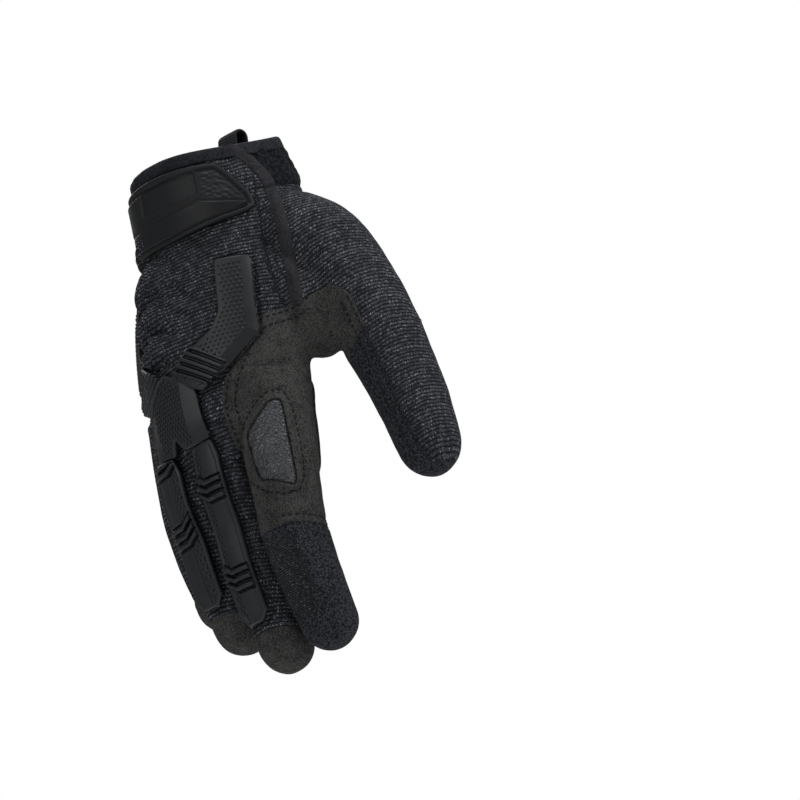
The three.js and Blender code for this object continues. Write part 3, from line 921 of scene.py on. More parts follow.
@dataclass(frozen=True)
class Finish:
    """What every finish has: a name, its colours from dark to light, and the shader's plain values."""

    name: str
    dark: str
    light: str
    roughness: float
    specular: float = 0.3
    sheen: float = 0.0

    def start(self) -> tuple[bpy.types.Material, bpy.types.NodeTree, bpy.types.Node]:
        """A material with its shader's plain values set."""
        material = bpy.data.materials.new(self.name)
        material.use_nodes = True
        tree = material.node_tree
        shader = tree.nodes["Principled BSDF"]
        shader.inputs["Roughness"].default_value = self.roughness
        shader.inputs["Specular IOR Level"].default_value = self.specular
        shader.inputs["Sheen Weight"].default_value = self.sheen
        shader.inputs["Sheen Roughness"].default_value = 0.45
        shader.inputs["Sheen Tint"].default_value = linear(self.light)
        return material, tree, shader

    def object_mm(self, tree: bpy.types.NodeTree) -> bpy.types.NodeSocket:
        """Object coordinates in mm."""
        place = add(tree, "ShaderNodeTexCoord")
        return add(tree, "ShaderNodeMapping", None, Vector=place.outputs["Object"],
                   Scale=(1 / MM, 1 / MM, 1 / MM)).outputs["Vector"]

    def noise(self, tree: bpy.types.NodeTree, place: bpy.types.NodeSocket, size: float,
              detail: float = 2.0) -> bpy.types.NodeSocket:
        """Noise whose lumps are size mm across."""
        return add(tree, "ShaderNodeTexNoise", None, Vector=place, Scale=1 / size, Detail=detail,
                   Roughness=0.6).outputs["Fac"]

    def colours(self, tree: bpy.types.NodeTree, factor: bpy.types.NodeSocket,
                shader: bpy.types.Node) -> None:
        """Runs the factor from the dark to the light colour into the shader."""
        mix = add(tree, "ShaderNodeMix", {"data_type": "RGBA"}, i0=factor, i6=linear(self.dark),
                  i7=linear(self.light))
        tree.links.new(mix.outputs[2], shader.inputs["Base Color"])

    def bump(self, tree: bpy.types.NodeTree, height: bpy.types.NodeSocket, shader: bpy.types.Node,
             depth: float, strength: float = 1.0) -> None:
        """A relief of that depth in mm where height runs from 0 to 1."""
        node = add(tree, "ShaderNodeBump", None, Strength=strength, Distance=depth * MM, Height=height)
        tree.links.new(node.outputs["Normal"], shader.inputs["Normal"])


def calc(tree: bpy.types.NodeTree, operation: str, *values) -> bpy.types.NodeSocket:
    """The result of one sum on sockets or numbers."""
    inputs = {f"i{k}": value for k, value in enumerate(values)}
    return add(tree, "ShaderNodeMath", {"operation": operation}, **inputs).outputs[0]


@dataclass(frozen=True)
class RibbedKnit(Finish):
    """Polyester stretch knit, made on a circular machine: rows of loops, matte. Its colour holds painted
    light: darker in the gaps between loops and rows as painted shade, with pale specks on the loops as
    painted highlights. Rows are 1.7 mm apart and loops 1.5 mm wide, coarser than the real ones so that
    they show."""

    row: float = 1.7
    loop: float = 1.5
    depth: float = 0.8

    def wave(self, tree: bpy.types.NodeTree, place: bpy.types.NodeSocket) -> bpy.types.NodeSocket:
        """0 at whole numbers and 1 halfway between them."""
        return calc(tree, "ABSOLUTE", calc(tree, "SINE", calc(tree, "MULTIPLY", place, math.pi)))

    def made(self) -> bpy.types.Material:
        """The material."""
        material, tree, shader = self.start()
        uv = add(tree, "ShaderNodeUVMap", {"uv_map": "weave"}).outputs["UV"]
        place = self.object_mm(tree)
        wander = self.noise(tree, place, 7.0)
        parts = add(tree, "ShaderNodeSeparateXYZ", None, Vector=uv)
        up = calc(tree, "ADD", parts.outputs["Y"], calc(tree, "MULTIPLY", wander, 1.2))
        row = calc(tree, "DIVIDE", up, self.row)
        number = calc(tree, "FLOOR", row)
        half = calc(tree, "MULTIPLY", calc(tree, "MODULO", number, 2.0), 0.5)
        column = calc(tree, "ADD", calc(tree, "DIVIDE", parts.outputs["X"], self.loop), half)
        ridge = calc(tree, "POWER", self.wave(tree, row), 0.7)
        bead = calc(tree, "POWER", self.wave(tree, column), 0.6)
        cell = add(tree, "ShaderNodeCombineXYZ", None, X=calc(tree, "FLOOR", column), Y=number)
        tone = add(tree, "ShaderNodeTexWhiteNoise", {"noise_dimensions": "2D"},
                   Vector=cell.outputs[0]).outputs["Value"]
        height = calc(tree, "MULTIPLY", ridge, calc(tree, "ADD", 0.6, calc(tree, "MULTIPLY", bead, 0.4)))
        fine = self.noise(tree, place, 0.55, 3.0)
        glint_mask = add(tree, "ShaderNodeMapRange", {"interpolation_type": "SMOOTHSTEP"}, Value=fine,
                    i1=0.56, i2=0.66).outputs[0]
        # Painted light: the colour follows the loops' height, darker in the gaps between loops and rows as
        # painted shade, and pale specks on the crests are painted highlights; the per-loop tone is random
        light = calc(tree, "MULTIPLY", height, calc(tree, "ADD", 0.05, calc(tree, "MULTIPLY", tone, 0.06)))
        glint = calc(tree, "ADD", 0.1, calc(tree, "MULTIPLY", tone, 0.68))
        light = calc(tree, "ADD", light, calc(tree, "MULTIPLY", calc(tree, "MULTIPLY", glint_mask, height), glint))
        self.colours(tree, light, shader)
        self.bump(tree, calc(tree, "ADD", height, calc(tree, "MULTIPLY", fine, 0.35)), shader, self.depth)
        return material


@dataclass(frozen=True)
class Nap(Finish):
    """Cloth with a short nap, such as synthetic suede: soft mottling a few mm across and a fine grain
    that catches light at a glancing angle."""

    grain: float = 0.7
    mottle: float = 6.0
    depth: float = 0.16

    def made(self) -> bpy.types.Material:
        """The material."""
        material, tree, shader = self.start()
        place = self.object_mm(tree)
        fine = self.noise(tree, place, self.grain, 3.0)
        broad = self.noise(tree, place, self.mottle)
        factor = calc(tree, "ADD", calc(tree, "MULTIPLY", fine, 2.6), calc(tree, "MULTIPLY", broad, 0.8))
        factor = calc(tree, "SUBTRACT", factor, 1.25)
        clamped = add(tree, "ShaderNodeClamp", None, Value=factor).outputs[0]
        self.colours(tree, clamped, shader)
        self.bump(tree, fine, shader, self.depth)
        return material


@dataclass(frozen=True)
class Pebbled(Finish):
    """Grip fabric or loop fleece: small uneven lumps, with colour painted lighter on their tops and darker
    between them as painted shade.
    """

    lump: float = 0.9
    depth: float = 0.4

    def made(self) -> bpy.types.Material:
        """The material."""
        material, tree, shader = self.start()
        place = self.object_mm(tree)
        cells = add(tree, "ShaderNodeTexVoronoi", {"feature": "SMOOTH_F1"}, Vector=place, Scale=1 / self.lump,
                    Smoothness=0.4).outputs["Distance"]
        lump = calc(tree, "SUBTRACT", 1.0, calc(tree, "MULTIPLY", cells, 1.5))
        fine = self.noise(tree, place, 0.6, 3.0)
        broad = self.noise(tree, place, 8.0)
        height = calc(tree, "ADD", calc(tree, "MULTIPLY", lump, 0.6), calc(tree, "MULTIPLY", fine, 0.55))
        clamped = add(tree, "ShaderNodeClamp", None, Value=height).outputs[0]
        # Painted shade: the colour follows the lumps' height, dark in the hollows between them and light on
        # their tops; the broad noise is random tone
        factor = calc(tree, "MULTIPLY", calc(tree, "POWER", clamped, 2.0),
                      calc(tree, "ADD", 0.75, calc(tree, "MULTIPLY", broad, 0.3)))
        self.colours(tree, factor, shader)
        self.bump(tree, height, shader, self.depth)
        return material


@dataclass(frozen=True)
class Moulded(Finish):
    """Thermoplastic rubber from a sandblasted mould: satin, with a fine matte grain and faint dust."""

    def made(self) -> bpy.types.Material:
        """The material."""
        material, tree, shader = self.start()
        place = self.object_mm(tree)
        fine = self.noise(tree, place, 0.35, 3.0)
        broad = self.noise(tree, place, 9.0, 4.0)
        self.colours(tree, broad, shader)
        rough = add(tree, "ShaderNodeMapRange", None, Value=broad, i3=self.roughness - 0.1,
                    i4=self.roughness + 0.1).outputs[0]
        tree.links.new(rough, shader.inputs["Roughness"])
        self.bump(tree, fine, shader, 0.03)
        return material


@dataclass(frozen=True)
class Grained(Finish):
    """Synthetic leather with an embossed grain of pebbles about 1.2 mm across, painted darker along the
    grooves between them as painted shade.
    """

    ridge: float = 0.75

    def made(self) -> bpy.types.Material:
        """The material."""
        material, tree, shader = self.start()
        place = self.object_mm(tree)
        stretch = add(tree, "ShaderNodeMapping", None, Vector=place, Scale=(0.6, 0.6, 1.0)).outputs[0]
        cells = add(tree, "ShaderNodeTexVoronoi", {"feature": "DISTANCE_TO_EDGE"}, Vector=stretch,
                    Scale=1 / (1.6 * self.ridge), Randomness=1.0).outputs["Distance"]
        edge = add(tree, "ShaderNodeMapRange", None, Value=cells, i1=0.0, i2=0.22).outputs[0]
        broad = self.noise(tree, place, 6.0)
        # Painted shade: darker along the grain's grooves at the cells' edges, times random broad tone
        factor = calc(tree, "MULTIPLY", edge, calc(tree, "ADD", 0.5, broad))
        self.colours(tree, factor, shader)
        self.bump(tree, edge, shader, 0.25)
        return material


@dataclass(frozen=True)
class Webbing(Finish):
    """Woven polyester webbing: ribs 1.2 mm apart across the band, painted darker between the ribs as painted
    shade.
    """

    rib: float = 1.2
    warp: float = 0.8

    def made(self) -> bpy.types.Material:
        """The material."""
        material, tree, shader = self.start()
        uv = add(tree, "ShaderNodeUVMap", {"uv_map": "weave"}).outputs["UV"]
        parts = add(tree, "ShaderNodeSeparateXYZ", None, Vector=uv)
        ridge, warp = (
            calc(tree, "ABSOLUTE", calc(tree, "SINE", calc(tree, "MULTIPLY", way, math.pi / pitch)))
            for way, pitch in ((parts.outputs["Y"], self.rib), (parts.outputs["X"], self.warp))
        )
        height = calc(tree, "MULTIPLY", ridge, calc(tree, "ADD", 0.6, calc(tree, "MULTIPLY", warp, 0.4)))
        # Painted shade: the colour follows the ribs' height, dark in the gaps between ribs and warp threads
        self.colours(tree, height, shader)
        self.bump(tree, height, shader, 0.3)
        return material


class Finishes:
    """Every finish of the glove, made once."""

    def __init__(self) -> None:
        """Makes the materials."""
        self.knit = RibbedKnit("polyester_stretch_knit", "050608", "a4a7b2", 0.95, 0.06).made()
        self.fine_knit = RibbedKnit("polyester_fine_knit", "07080a", "83858c", 0.95, 0.06, row=0.9, loop=0.8,
                                    depth=0.25).made()
        self.suede = Nap("synthetic_suede_brushed", "151515", "434342", 0.95, 0.08, 0.03).made()
        self.welt = Nap("synthetic_suede_strip", "18181a", "2d2d31", 0.9, 0.1, 0.03).made()
        self.tape = Nap("knitted_binding_tape", "0d0e11", "26282d", 0.9, 0.1, 0.03, grain=0.9,
                        depth=0.2).made()
        self.fabric = Pebbled("pebbled_grip_fabric", "060709", "4c4f57", 0.9, 0.12).made()
        self.fleece = Pebbled("hook_loop_fleece", "050608", "2c2e34", 0.95, 0.1, lump=1.6, depth=0.8).made()
        self.rubber = Moulded("thermoplastic_rubber_moulded", "0c0e10", "171a1d", 0.46, 0.3).made()
        self.strap = Moulded("thermoplastic_rubber_strap", "07080a", "0e1013", 0.52, 0.2).made()
        self.grain = Grained("synthetic_leather_embossed", "0c0d10", "34363b", 0.45, 0.4).made()
        self.webbing = Webbing("polyester_webbing_woven", "08090a", "2c2d31", 0.85, 0.15).made()
        self.thread = Nap("polyester_thread_twisted", "030304", "0b0c0e", 0.7, 0.2, grain=0.4,
                          depth=0.1).made()


# The glove's form ------------------------------------------------------------------------------------


def at_level(table: Array, column: int, z: Array) -> Array:
    """A column of a table at each height."""
    order = np.argsort(table[:, 2])
    return np.interp(z, table[order, 2], table[order, column])


def on_side(surface: "Surface", outline: Array, side: Side, least: float) -> Array:
    """Distance inside an outline on one side: places that face it by less than least are outside.

    Args:
        surface: the surface.
        outline: across and up.
        side: the side that it is drawn on.
        least: the least facing that counts as on that side.

    Returns:
        One distance a point.
    """
    value = within(outline, surface.across(side), surface.points[:, 2])
    return np.minimum(value, (surface.facing(side) - least) * 25)


def arm_inside(surface: Surface, side: Side) -> tuple[Array, Array, Array]:
    """Distance inside an arm of the guard, distance from its outer edge, and place across its side.

    Args:
        surface: the surface.
        side: the side of the arm, the view side or the far one.

    Returns:
        The three values of each point.
    """
    mirror = 2 * GUARD_AXIS_X * math.cos(math.radians(VIEW_TURN)) + 4
    u = surface.across(side)
    u = mirror - u if side is Side.FAR else u
    z = surface.points[:, 2]
    inside = within(rounded(ARM, 1, cut=0.06), u, z)
    inside = np.minimum(inside, (surface.facing(side) - 0.05) * 25)
    x = surface.points[:, 0]
    inside = np.minimum(inside, 12 - x if side is Side.FAR else x + 30)
    return inside, path_distance(np.asarray(ARM_OUTER, float), u, z), u


def plate_inside(surface: Surface) -> Array:
    """Distance inside the guard's plate, on the back only.

    Args:
        surface: the surface.

    Returns:
        One distance a point.
    """
    half = np.asarray(PLATE_HALF, float)
    right = half + [GUARD_AXIS_X, 0]
    left = (half[1:-1] * [-1, 1] + [GUARD_AXIS_X, 0])[::-1]
    return on_side(surface, rounded(np.vstack([right, left]), 1, cut=0.1), Side.BACK, 0.1)


def bar_inside(surface: Surface, x: float, end: float, half: float) -> Array:
    """Distance inside a finger's bar, on the back only.

    Args:
        surface: the surface.
        x: the bar's middle.
        end: height of its lower end.
        half: half its width.

    Returns:
        One distance a point.
    """
    outline = rounded([
        (x - half, BAR_TOP), (x + half, BAR_TOP), (x + half * 0.92, end + 5),
        (x + half * 0.5, end), (x - half * 0.5, end), (x - half * 0.92, end + 5),
    ], 1, cut=0.12)
    return on_side(surface, outline, Side.BACK, 0.15)


class GloveForm:
    """The outer surface of the whole filled glove, with the relief of its seams and folds."""

    def __init__(self) -> None:
        """Fuses the hand, fingers, thumb and web, smooths them and adds the relief."""
        plain = self.fused()
        self.plain = plain
        self.dressed = plain.raised(self.relief(plain))
        self.drape = Drape(self.dressed)

    def fused(self) -> Surface:
        """One skin over all limbs: each is a tube of sections, and a voxel remesh joins them."""
        limbs = [hand_points()] + [
            limb_points(table, tip)
            for table, tip in ((INDEX, 13), (MIDDLE, 13), (RING, 13), (LITTLE, 12), (THUMB, 14), (WEB, 9))
        ]
        sides = [144] + [72] * (len(limbs) - 1)
        parts = [(points, tube_faces(rings, n)) for (points, rings), n in zip(limbs, sides)]
        parts = [(p, t if outwards(p, t) else t[:, ::-1]) for p, t in parts]
        points, tris = joined(parts)
        source = mesh_object("form", points / MM, tris)
        remesh = source.modifiers.new("fuse", "REMESH")
        remesh.mode = "VOXEL"
        remesh.voxel_size = VOXEL
        made = source.evaluated_get(bpy.context.evaluated_depsgraph_get()).to_mesh()
        made.calc_loop_triangles()
        points = np.zeros(3 * len(made.vertices), np.float32)
        made.vertices.foreach_get("co", points)
        tris = np.zeros(3 * len(made.loop_triangles), np.int32)
        made.loop_triangles.foreach_get("vertices", tris)
        bpy.data.objects.remove(source)
        points, tris = points.reshape(-1, 3).astype(float), tris.reshape(-1, 3).astype(int)
        points = relaxed(points, tris, 14)
        crotch = np.linalg.norm((points - CROTCH) / CROTCH_SIZE, axis=1)
        points = relaxed(points, tris, 90, (0.5,), smoothstep(1.0, 0.5, crotch)[:, None])
        if not outwards(points, tris):
            tris = tris[:, ::-1]
        normals = vertex_normals(points, tris)
        log.info("form: %d points", len(points))
        return Surface(points, tris, normals, self.weave(points))

    def weave(self, points: Array) -> Array:
        """Cloth lengths: round the limb as its half width times the turn, and along it as the height, or
        the length down the thumb on the thumb.

        Args:
            points: places in mm.

        Returns:
            Length round and length along of each point.
        """
        x, y, z = points.T
        centre_x, centre_y, width, depth = (at_level(HAND, k, z) for k in (0, 1, 3, 4))
        turn = np.arctan2((x - centre_x) / width, -(y - centre_y) / depth)
        around = turn * 0.75 * (width + depth) / 1.5
        along = z - LEAN * y * np.clip(1 + (z - WRIST_Z) / LEAN_FADE, 0, 1)
        axis = unit(THUMB[-1, :3] - THUMB[1, :3])
        rel = points - THUMB[1, :3]
        run = rel @ axis
        side = rel - run[:, None] * axis
        thumb_around = 17 * np.arctan2(side @ np.cross(axis, [0, 1.0, 0]), side[:, 1])
        on_thumb = self.thumb_knit(points) > -6
        centres = np.stack([
            np.stack([at_level(table, 0, z), at_level(table, 1, z)], 1) for table in FINGERS
        ], 1)
        near = np.abs(x[:, None] - centres[..., 0]).argmin(1)
        centre = centres[np.arange(len(z)), near]
        finger_around = 12.5 * np.arctan2(x - centre[:, 0], -(y - centre[:, 1])) + 30 * near
        around = np.where(z < -122, finger_around, around)
        return np.stack([np.where(on_thumb, thumb_around, around), np.where(on_thumb, -run, along)], 1)

    def parting(self, x: Array, z: Array) -> Array:
        """Depth of the seam between back and palm: the arched middle of the hand, and below the knuckles
        the middle of the nearest fingers.

        Args:
            x: across.
            z: height.

        Returns:
            The depth of the seam at each place.
        """
        hand = at_level(HAND, 1, z) + at_level(HAND, 5, z) * (x - ARCH_X) ** 2
        xs = [at_level(table, 0, z) for table in FINGERS]
        ys = [at_level(table, 1, z) for table in FINGERS]
        finger = ys[0]
        for k in range(3):
            t = np.clip((x - xs[k]) / (xs[k + 1] - xs[k]), 0, 1)
            finger = np.where(x > xs[k], ys[k] * (1 - t) + ys[k + 1] * t, finger)
        mix = smoothstep(112, 136, -z)
        return hand * (1 - mix) + finger * mix

    def thumb_knit(self, points: Array) -> Array:
        """Distance inside the knitted outer side of the thumb.

        Args:
            points: places in mm.

        Returns:
            One distance a point.
        """
        x, y, z = points.T
        side = within(rounded(THUMB_SIDE), points @ across_of(Side.VIEW), z)
        behind = within(rounded(THUMB_OUTER_EDGE), x, z)
        return np.maximum(np.minimum(side, THUMB_SPLIT_Y - y), np.minimum(behind, y - THUMB_SPLIT_Y))

    def suede(self, points: Array) -> Array:
        """Distance inside all that is suede or grip fabric.

        Args:
            points: places in mm.

        Returns:
            One distance a point.
        """
        x, y, z = points.T
        value = np.maximum(y - self.parting(x, z), within(rounded(GUSSET), x, z))
        for left, right, top in CAPS:
            value = np.maximum(value, np.minimum(np.minimum(x - left, right - x), top - z))
        return value

    def below_wrist(self, points: Array) -> Array:
        """Distance below the seam between hand and cuff."""
        return WRIST_Z + LEAN * points[:, 1] - points[:, 2]

    def below_rim(self, points: Array) -> Array:
        """Distance below the cuff's rim."""
        x, y, z = points.T
        return RIM_CROWN * (1 - (x / CROWN_REACH) ** 2) + LEAN * y - z

    def relief(self, skin: Surface) -> Array:
        """Height of seams, folds and gathers over the plain form.

        Args:
            skin: the plain form.

        Returns:
            Millimetres outwards at each point.
        """
        points = skin.points
        x, y, z = points.T
        u = skin.across(Side.VIEW)
        knit_edge = np.minimum(-self.suede(points), -self.thumb_knit(points))
        height = 0.35 * smoothstep(-1.2, 0.4, -knit_edge)
        height = height - 0.45 * np.exp(-((np.abs(knit_edge) / 0.9) ** 2))
        height = height + 0.28 * smooth_noise(points, 16, 3) + 0.12 * smooth_noise(points, 7, 5)
        # Gathers across the back, between the wrist strap and the guard's plate
        creases = np.array([-27, -41.5, -60, -76, -90])
        level = z + 2.5 * np.sin(x / 11.0) + 1.5 * np.sin(x / 4.3 + 1)
        i = np.clip(np.searchsorted(-creases, -level) - 1, 0, len(creases) - 2)
        phase = (level - creases[i]) / (creases[i + 1] - creases[i])
        puff = np.sin(np.pi * np.clip(phase, 0, 1)) ** 0.4 - 0.45
        reach = smoothstep(10, -16, x) * smoothstep(-0.35, 0.1, -skin.normals[:, 1])
        reach = reach * smoothstep(-94, -84, z) * smoothstep(-22, -30, z)
        ripple = 0.5 * np.sin(x / 0.5 + 2 * np.sin(z / 6)) * smoothstep(0.35, 0.8, puff + 0.45)
        guard = np.max([
            arm_inside(skin, Side.VIEW)[0], arm_inside(skin, Side.FAR)[0], plate_inside(skin),
            bar_inside(skin, *MIDDLE_BAR), bar_inside(skin, *RING_BAR),
        ], 0)
        reach = reach * np.where(x < -14, smoothstep(0.2, 1.8, -guard), smoothstep(0.5, 5.0, -guard))
        height = height + reach * (6.4 * puff + ripple)
        height = height - 1.3 * np.exp(-(((guard + 0.6) / 1.1) ** 2)) * (z < -45)
        # Small tucks beside the guard's arm
        tuck = np.exp(-(((x - 6) / 9) ** 2) - ((z + 62) / 11) ** 2)
        tuck = tuck * smoothstep(0.2, 0.6, -skin.normals[:, 1])
        height = height + tuck * 1.1 * np.sin((z + 0.8 * x) / 1.7)
        # Folded knit beside the middle finger's bar
        fold = path_distance(np.array([(3, -140), (7, -160), (9, -176)]), u, z)
        front = smoothstep(0.0, 0.4, skin.facing(Side.VIEW))
        height = height - 1.4 * front * np.exp(-((fold / 1.5) ** 2)) * (x > 12) * (z < -130)
        # Soft folds in the suede at the thumb's root and across the palm
        crotch = np.exp(-(((x - 54) / 10) ** 2) - ((z + 88) / 14) ** 2)
        height = height + crotch * 0.9 * np.sin((x - 0.6 * z) / 2.6)
        for line, side, depth, wide in self.grooves():
            near = path_distance(line, points @ across_of(side), z)
            turned = smoothstep(0.05, 0.35, skin.facing(side))
            height = height - turned * depth * np.exp(-((near / wide) ** 2))
        # The cuff: pulled in under the strap and ruffled at the terry side
        cuff = smoothstep(0, -4, self.below_wrist(points))
        fleecy = cuff * smoothstep(-5, 8, y + 0.5 * x - 8)
        height = height + fleecy * 0.55 * smooth_noise(points, 3.2, 21)
        height = height + cuff * 0.4 * np.sin(np.degrees(np.arctan2(y, x)) / 3.1) * smoothstep(-26, -10, z)
        seam = np.abs(self.below_wrist(points))
        height = height - 0.9 * np.exp(-((seam / 1.3) ** 2))
        return height

    def grooves(self) -> list:
        """Lines where thread pulls the cloth in: path, side, depth and width."""
        lines = []
        for outline in (HEEL_PAD, SIDE_PAD):
            path = rounded(outline)
            for offset in (1.2, 4.2):
                ring = grown(path, offset)
                lines.append((np.vstack([ring, ring[:1]]), Side.PALM, 0.5, 0.9))
        ring = grown(rounded(SIDE_PAD_D), 4.6)
        lines.append((np.vstack([ring, ring[:1]]), Side.VIEW, 0.5, 1.0))
        for z in (INDEX_SEAM_Z, INDEX_SEAM_Z + 3.4):
            lines.append((np.array([(2, z), (40, z)]), Side.VIEW, 0.5, 0.9))
            lines.append((np.array([(18, z), (50, z)]), Side.PALM, 0.5, 0.9))
        return lines


def outwards(points: Array, tris: Array) -> bool:
    """True if a closed mesh's faces point outwards: the sum of its tetrahedra's volumes is positive."""
    a, b, c = points[tris[:, 0]], points[tris[:, 1]], points[tris[:, 2]]
    return float((np.cross(a, b) * c).sum()) > 0


# Sub-assemblies --------------------------------------------------------------------------------------


@dataclass
class ClothPanels:
    """The knit, suede and grip fabric panels that make the bag of the glove."""

    form: GloveForm
    finishes: Finishes

    def build(self) -> None:
        """Cuts each panel out of the dressed form and gives it a wall."""
        form, skin = self.form, self.form.dressed
        points = form.plain.points
        x, y, z = points.T
        below = form.below_wrist(points)
        thumb = np.minimum(form.thumb_knit(points), below)
        suede = np.minimum(np.minimum(form.suede(points), -form.thumb_knit(points)), below)
        index_tip = np.minimum(np.minimum(INDEX_SEAM_Z - z, x - 19.5), 58 - x)
        thumb_tip = within(rounded(THUMB_TIP_SIDE, 1), x, z)
        behind = smoothstep(0.5, -4, y - at_level(INDEX, 1, z)) - 0.5
        patch = np.minimum(within(rounded(INDEX_BACK), x, z), behind)
        index_all = np.minimum(suede, index_tip)
        panels = [
            ("back_knit", np.minimum(np.minimum(-form.suede(points), -form.thumb_knit(points)), below),
             self.finishes.knit, Slot.KNIT, ("back_knit_panel",)),
            ("thumb_knit", thumb, self.finishes.knit, Slot.KNIT, ("thumb_knit_panel",)),
            ("palm_suede", np.minimum(np.minimum(suede, -index_tip), -thumb_tip),
             self.finishes.suede, Slot.SUEDE, ("palm_suede_panel",)),
            ("index_tip_fabric", np.minimum(index_all, -patch), self.finishes.fabric, Slot.FABRIC,
             ("index_tip_panel",)),
            ("index_back_knit", np.minimum(index_all, patch), self.finishes.fine_knit, Slot.KNIT, ()),
            ("thumb_tip_fabric", np.minimum(np.minimum(suede, thumb_tip), -index_tip), self.finishes.fabric,
             Slot.FABRIC, ("thumb_tip_panel",)),
        ]
        for name, value, finish, slot, nodes in panels:
            shell_piece(name, skin.part(value), WALL, finish, nodes)


def puffed(patch: Surface, height: float) -> Array:
    """How far each point of a sewn-down pad bulges: cloth pinned along its border under air pressure.
    It rises only a little, so its rise is averaged over neighbours and scaled to the given height.

    Args:
        patch: the pad's surface before it is filled.
        height: its greatest height in mm.

    Returns:
        Height at each point, zero along the border.
    """
    border = np.unique(border_of(patch.tris))
    pad = mesh_object("filling", patch.points, patch.tris)
    hem = pad.vertex_groups.new(name="hem")
    hem.add(border.tolist(), 1.0, "REPLACE")
    cloth = pad.modifiers.new("cloth", "CLOTH")
    settings = cloth.settings
    settings.quality = 6
    settings.mass = 0.15
    settings.use_pressure = True
    settings.uniform_pressure_force = 4.0
    settings.vertex_group_mass = "hem"
    settings.effector_weights.gravity = 0.0
    settings.tension_stiffness = 8
    settings.compression_stiffness = 8
    settings.bending_stiffness = 0.05
    cloth.collision_settings.use_collision = False
    cloth.point_cache.frame_end = 20
    scene = bpy.context.scene
    for number in range(1, 21):
        scene.frame_set(number)
    made = pad.evaluated_get(bpy.context.evaluated_depsgraph_get()).to_mesh()
    moved = np.zeros(3 * len(made.vertices), np.float32)
    made.vertices.foreach_get("co", moved)
    rise = ((moved.reshape(-1, 3) / MM - patch.points) * patch.normals).sum(1)
    bpy.data.objects.remove(pad)
    scene.frame_set(1)
    rise = np.nan_to_num(np.clip(rise, 0, None))
    log.info("filling rose %.2f mm", float(rise.max()))
    a, b = edges_of(patch.tris)[0].T
    count = np.bincount(np.r_[a, b], minlength=len(rise))
    for _ in range(120):
        total = np.bincount(a, rise[b], len(rise)) + np.bincount(b, rise[a], len(rise))
        rise = 0.5 * rise + 0.5 * total / np.maximum(count, 1)
        rise[border] = 0
    return rise * height / max(float(np.percentile(rise, 99.5)), 1e-3)


@dataclass
class Pads:
    """Padded and flat patches sewn on the palm and on the index finger's side."""

    form: GloveForm
    finishes: Finishes
    pad_height: float = 2.6
    edge_height: float = 0.9

    def patch(self, outline: Array, side: Side, rounds: int = 1) -> tuple[Surface, Array]:
        """The part of the dressed form inside an outline on one side.

        Args:
            outline: across and up.
            side: the side it is drawn on.
            rounds: how many times it is made finer.

        Returns:
            The patch, and each point's distance inside the outline.
        """
        skin = self.form.dressed
        value = within(outline, skin.across(side), skin.points[:, 2])
        value = np.minimum(value, (skin.facing(side) - 0.2) * 20)
        patch = skin.part(value).finer(rounds)
        return patch, within(outline, patch.across(side), patch.points[:, 2])

    def build(self) -> None:
        """Makes every pad and patch."""
        for name, outline, node in (("palm_heel_pad_suede", HEEL_PAD, "palm_heel_pad"),
                                    ("palm_side_pad_suede", SIDE_PAD, "palm_side_pad")):
            patch, inside = self.patch(rounded(outline), Side.PALM)
            rise = puffed(patch, self.pad_height)
            edge = self.edge_height * np.sqrt(1 - (1 - np.clip(inside / 1.2, 0, 1)) ** 2)
            top = patch.raised(edge + rise + 0.12 * smooth_noise(patch.points, 9, 8))
            piece = shell_piece(name, top, 0.4, self.finishes.suede, (node,), patch)
        outline = rounded(SIDE_PAD_D, 2, cut=0.1)
        patch, inside = self.patch(outline, Side.VIEW, 2)
        rise = puffed(patch, 1.8)
        top = patch.raised(-0.3 + 0.7 * np.sqrt(1 - (1 - np.clip(inside / 1.4, 0, 1)) ** 2) + rise)
        piece = shell_piece("index_side_pad_grain", top, 0.6, self.finishes.grain,
                            ("index_side_pad",), patch)
        skin = self.form.dressed
        frame_value = within(grown(outline, 2.4), skin.across(Side.VIEW), skin.points[:, 2])
        hole = within(grown(outline, 0.35), skin.across(Side.VIEW), skin.points[:, 2])
        ring = skin.part(np.minimum(np.minimum(frame_value, -hole), skin.facing(Side.VIEW) * 20)).finer(2)
        outside = -within(grown(outline, 0.35), ring.across(Side.VIEW), ring.points[:, 2])
        lip = 0.95 * np.sqrt(np.clip(1 - ((outside - 0.7) / 1.4) ** 2, 0, 1))
        shell_piece("index_pad_window", ring.raised(lip), 0.5, self.finishes.suede, (), ring)
        patch, inside = self.patch(rounded(REINFORCEMENT), Side.PALM)
        edge = 1.0 * np.sqrt(1 - (1 - np.clip(inside / 1.0, 0, 1)) ** 2)
        for offset in (1.8, 4.8):
            edge = edge - 0.4 * np.exp(-(((inside - offset) / 0.8) ** 2))
        top = patch.raised(edge + 0.15 * smooth_noise(patch.points, 11, 4))
        shell_piece("palm_reinforcement_fabric", top, 0.4, self.finishes.fabric,
                    ("palm_reinforcement",), patch)
        self.welt()

    def welt(self) -> None:
        """A folded strip of suede over the seam between back and thumb, from the rim to the gusset."""
        skin = self.form.dressed
        path = rounded(WELT_PATH, 2, closed=False)
        reach = 2.7
        value = reach - path_distance(path, skin.across(Side.VIEW), skin.points[:, 2])
        value = np.minimum(value, (skin.facing(Side.VIEW) - 0.1) * 20)
        value = np.minimum(value, self.form.below_rim(skin.points) - 0.4)
        strip = skin.part(value).finer(2)
        near = path_distance(path, strip.across(Side.VIEW), strip.points[:, 2])
        crown = 1.0 * np.sqrt(np.clip(1.0 - (near / reach) ** 6, 0, 1)) + 0.25 * np.cos(near * 1.3)
        shell_piece("seam_welt_suede", strip.raised(crown), 0.3, self.finishes.welt,
                    ("seam_welt",), strip)


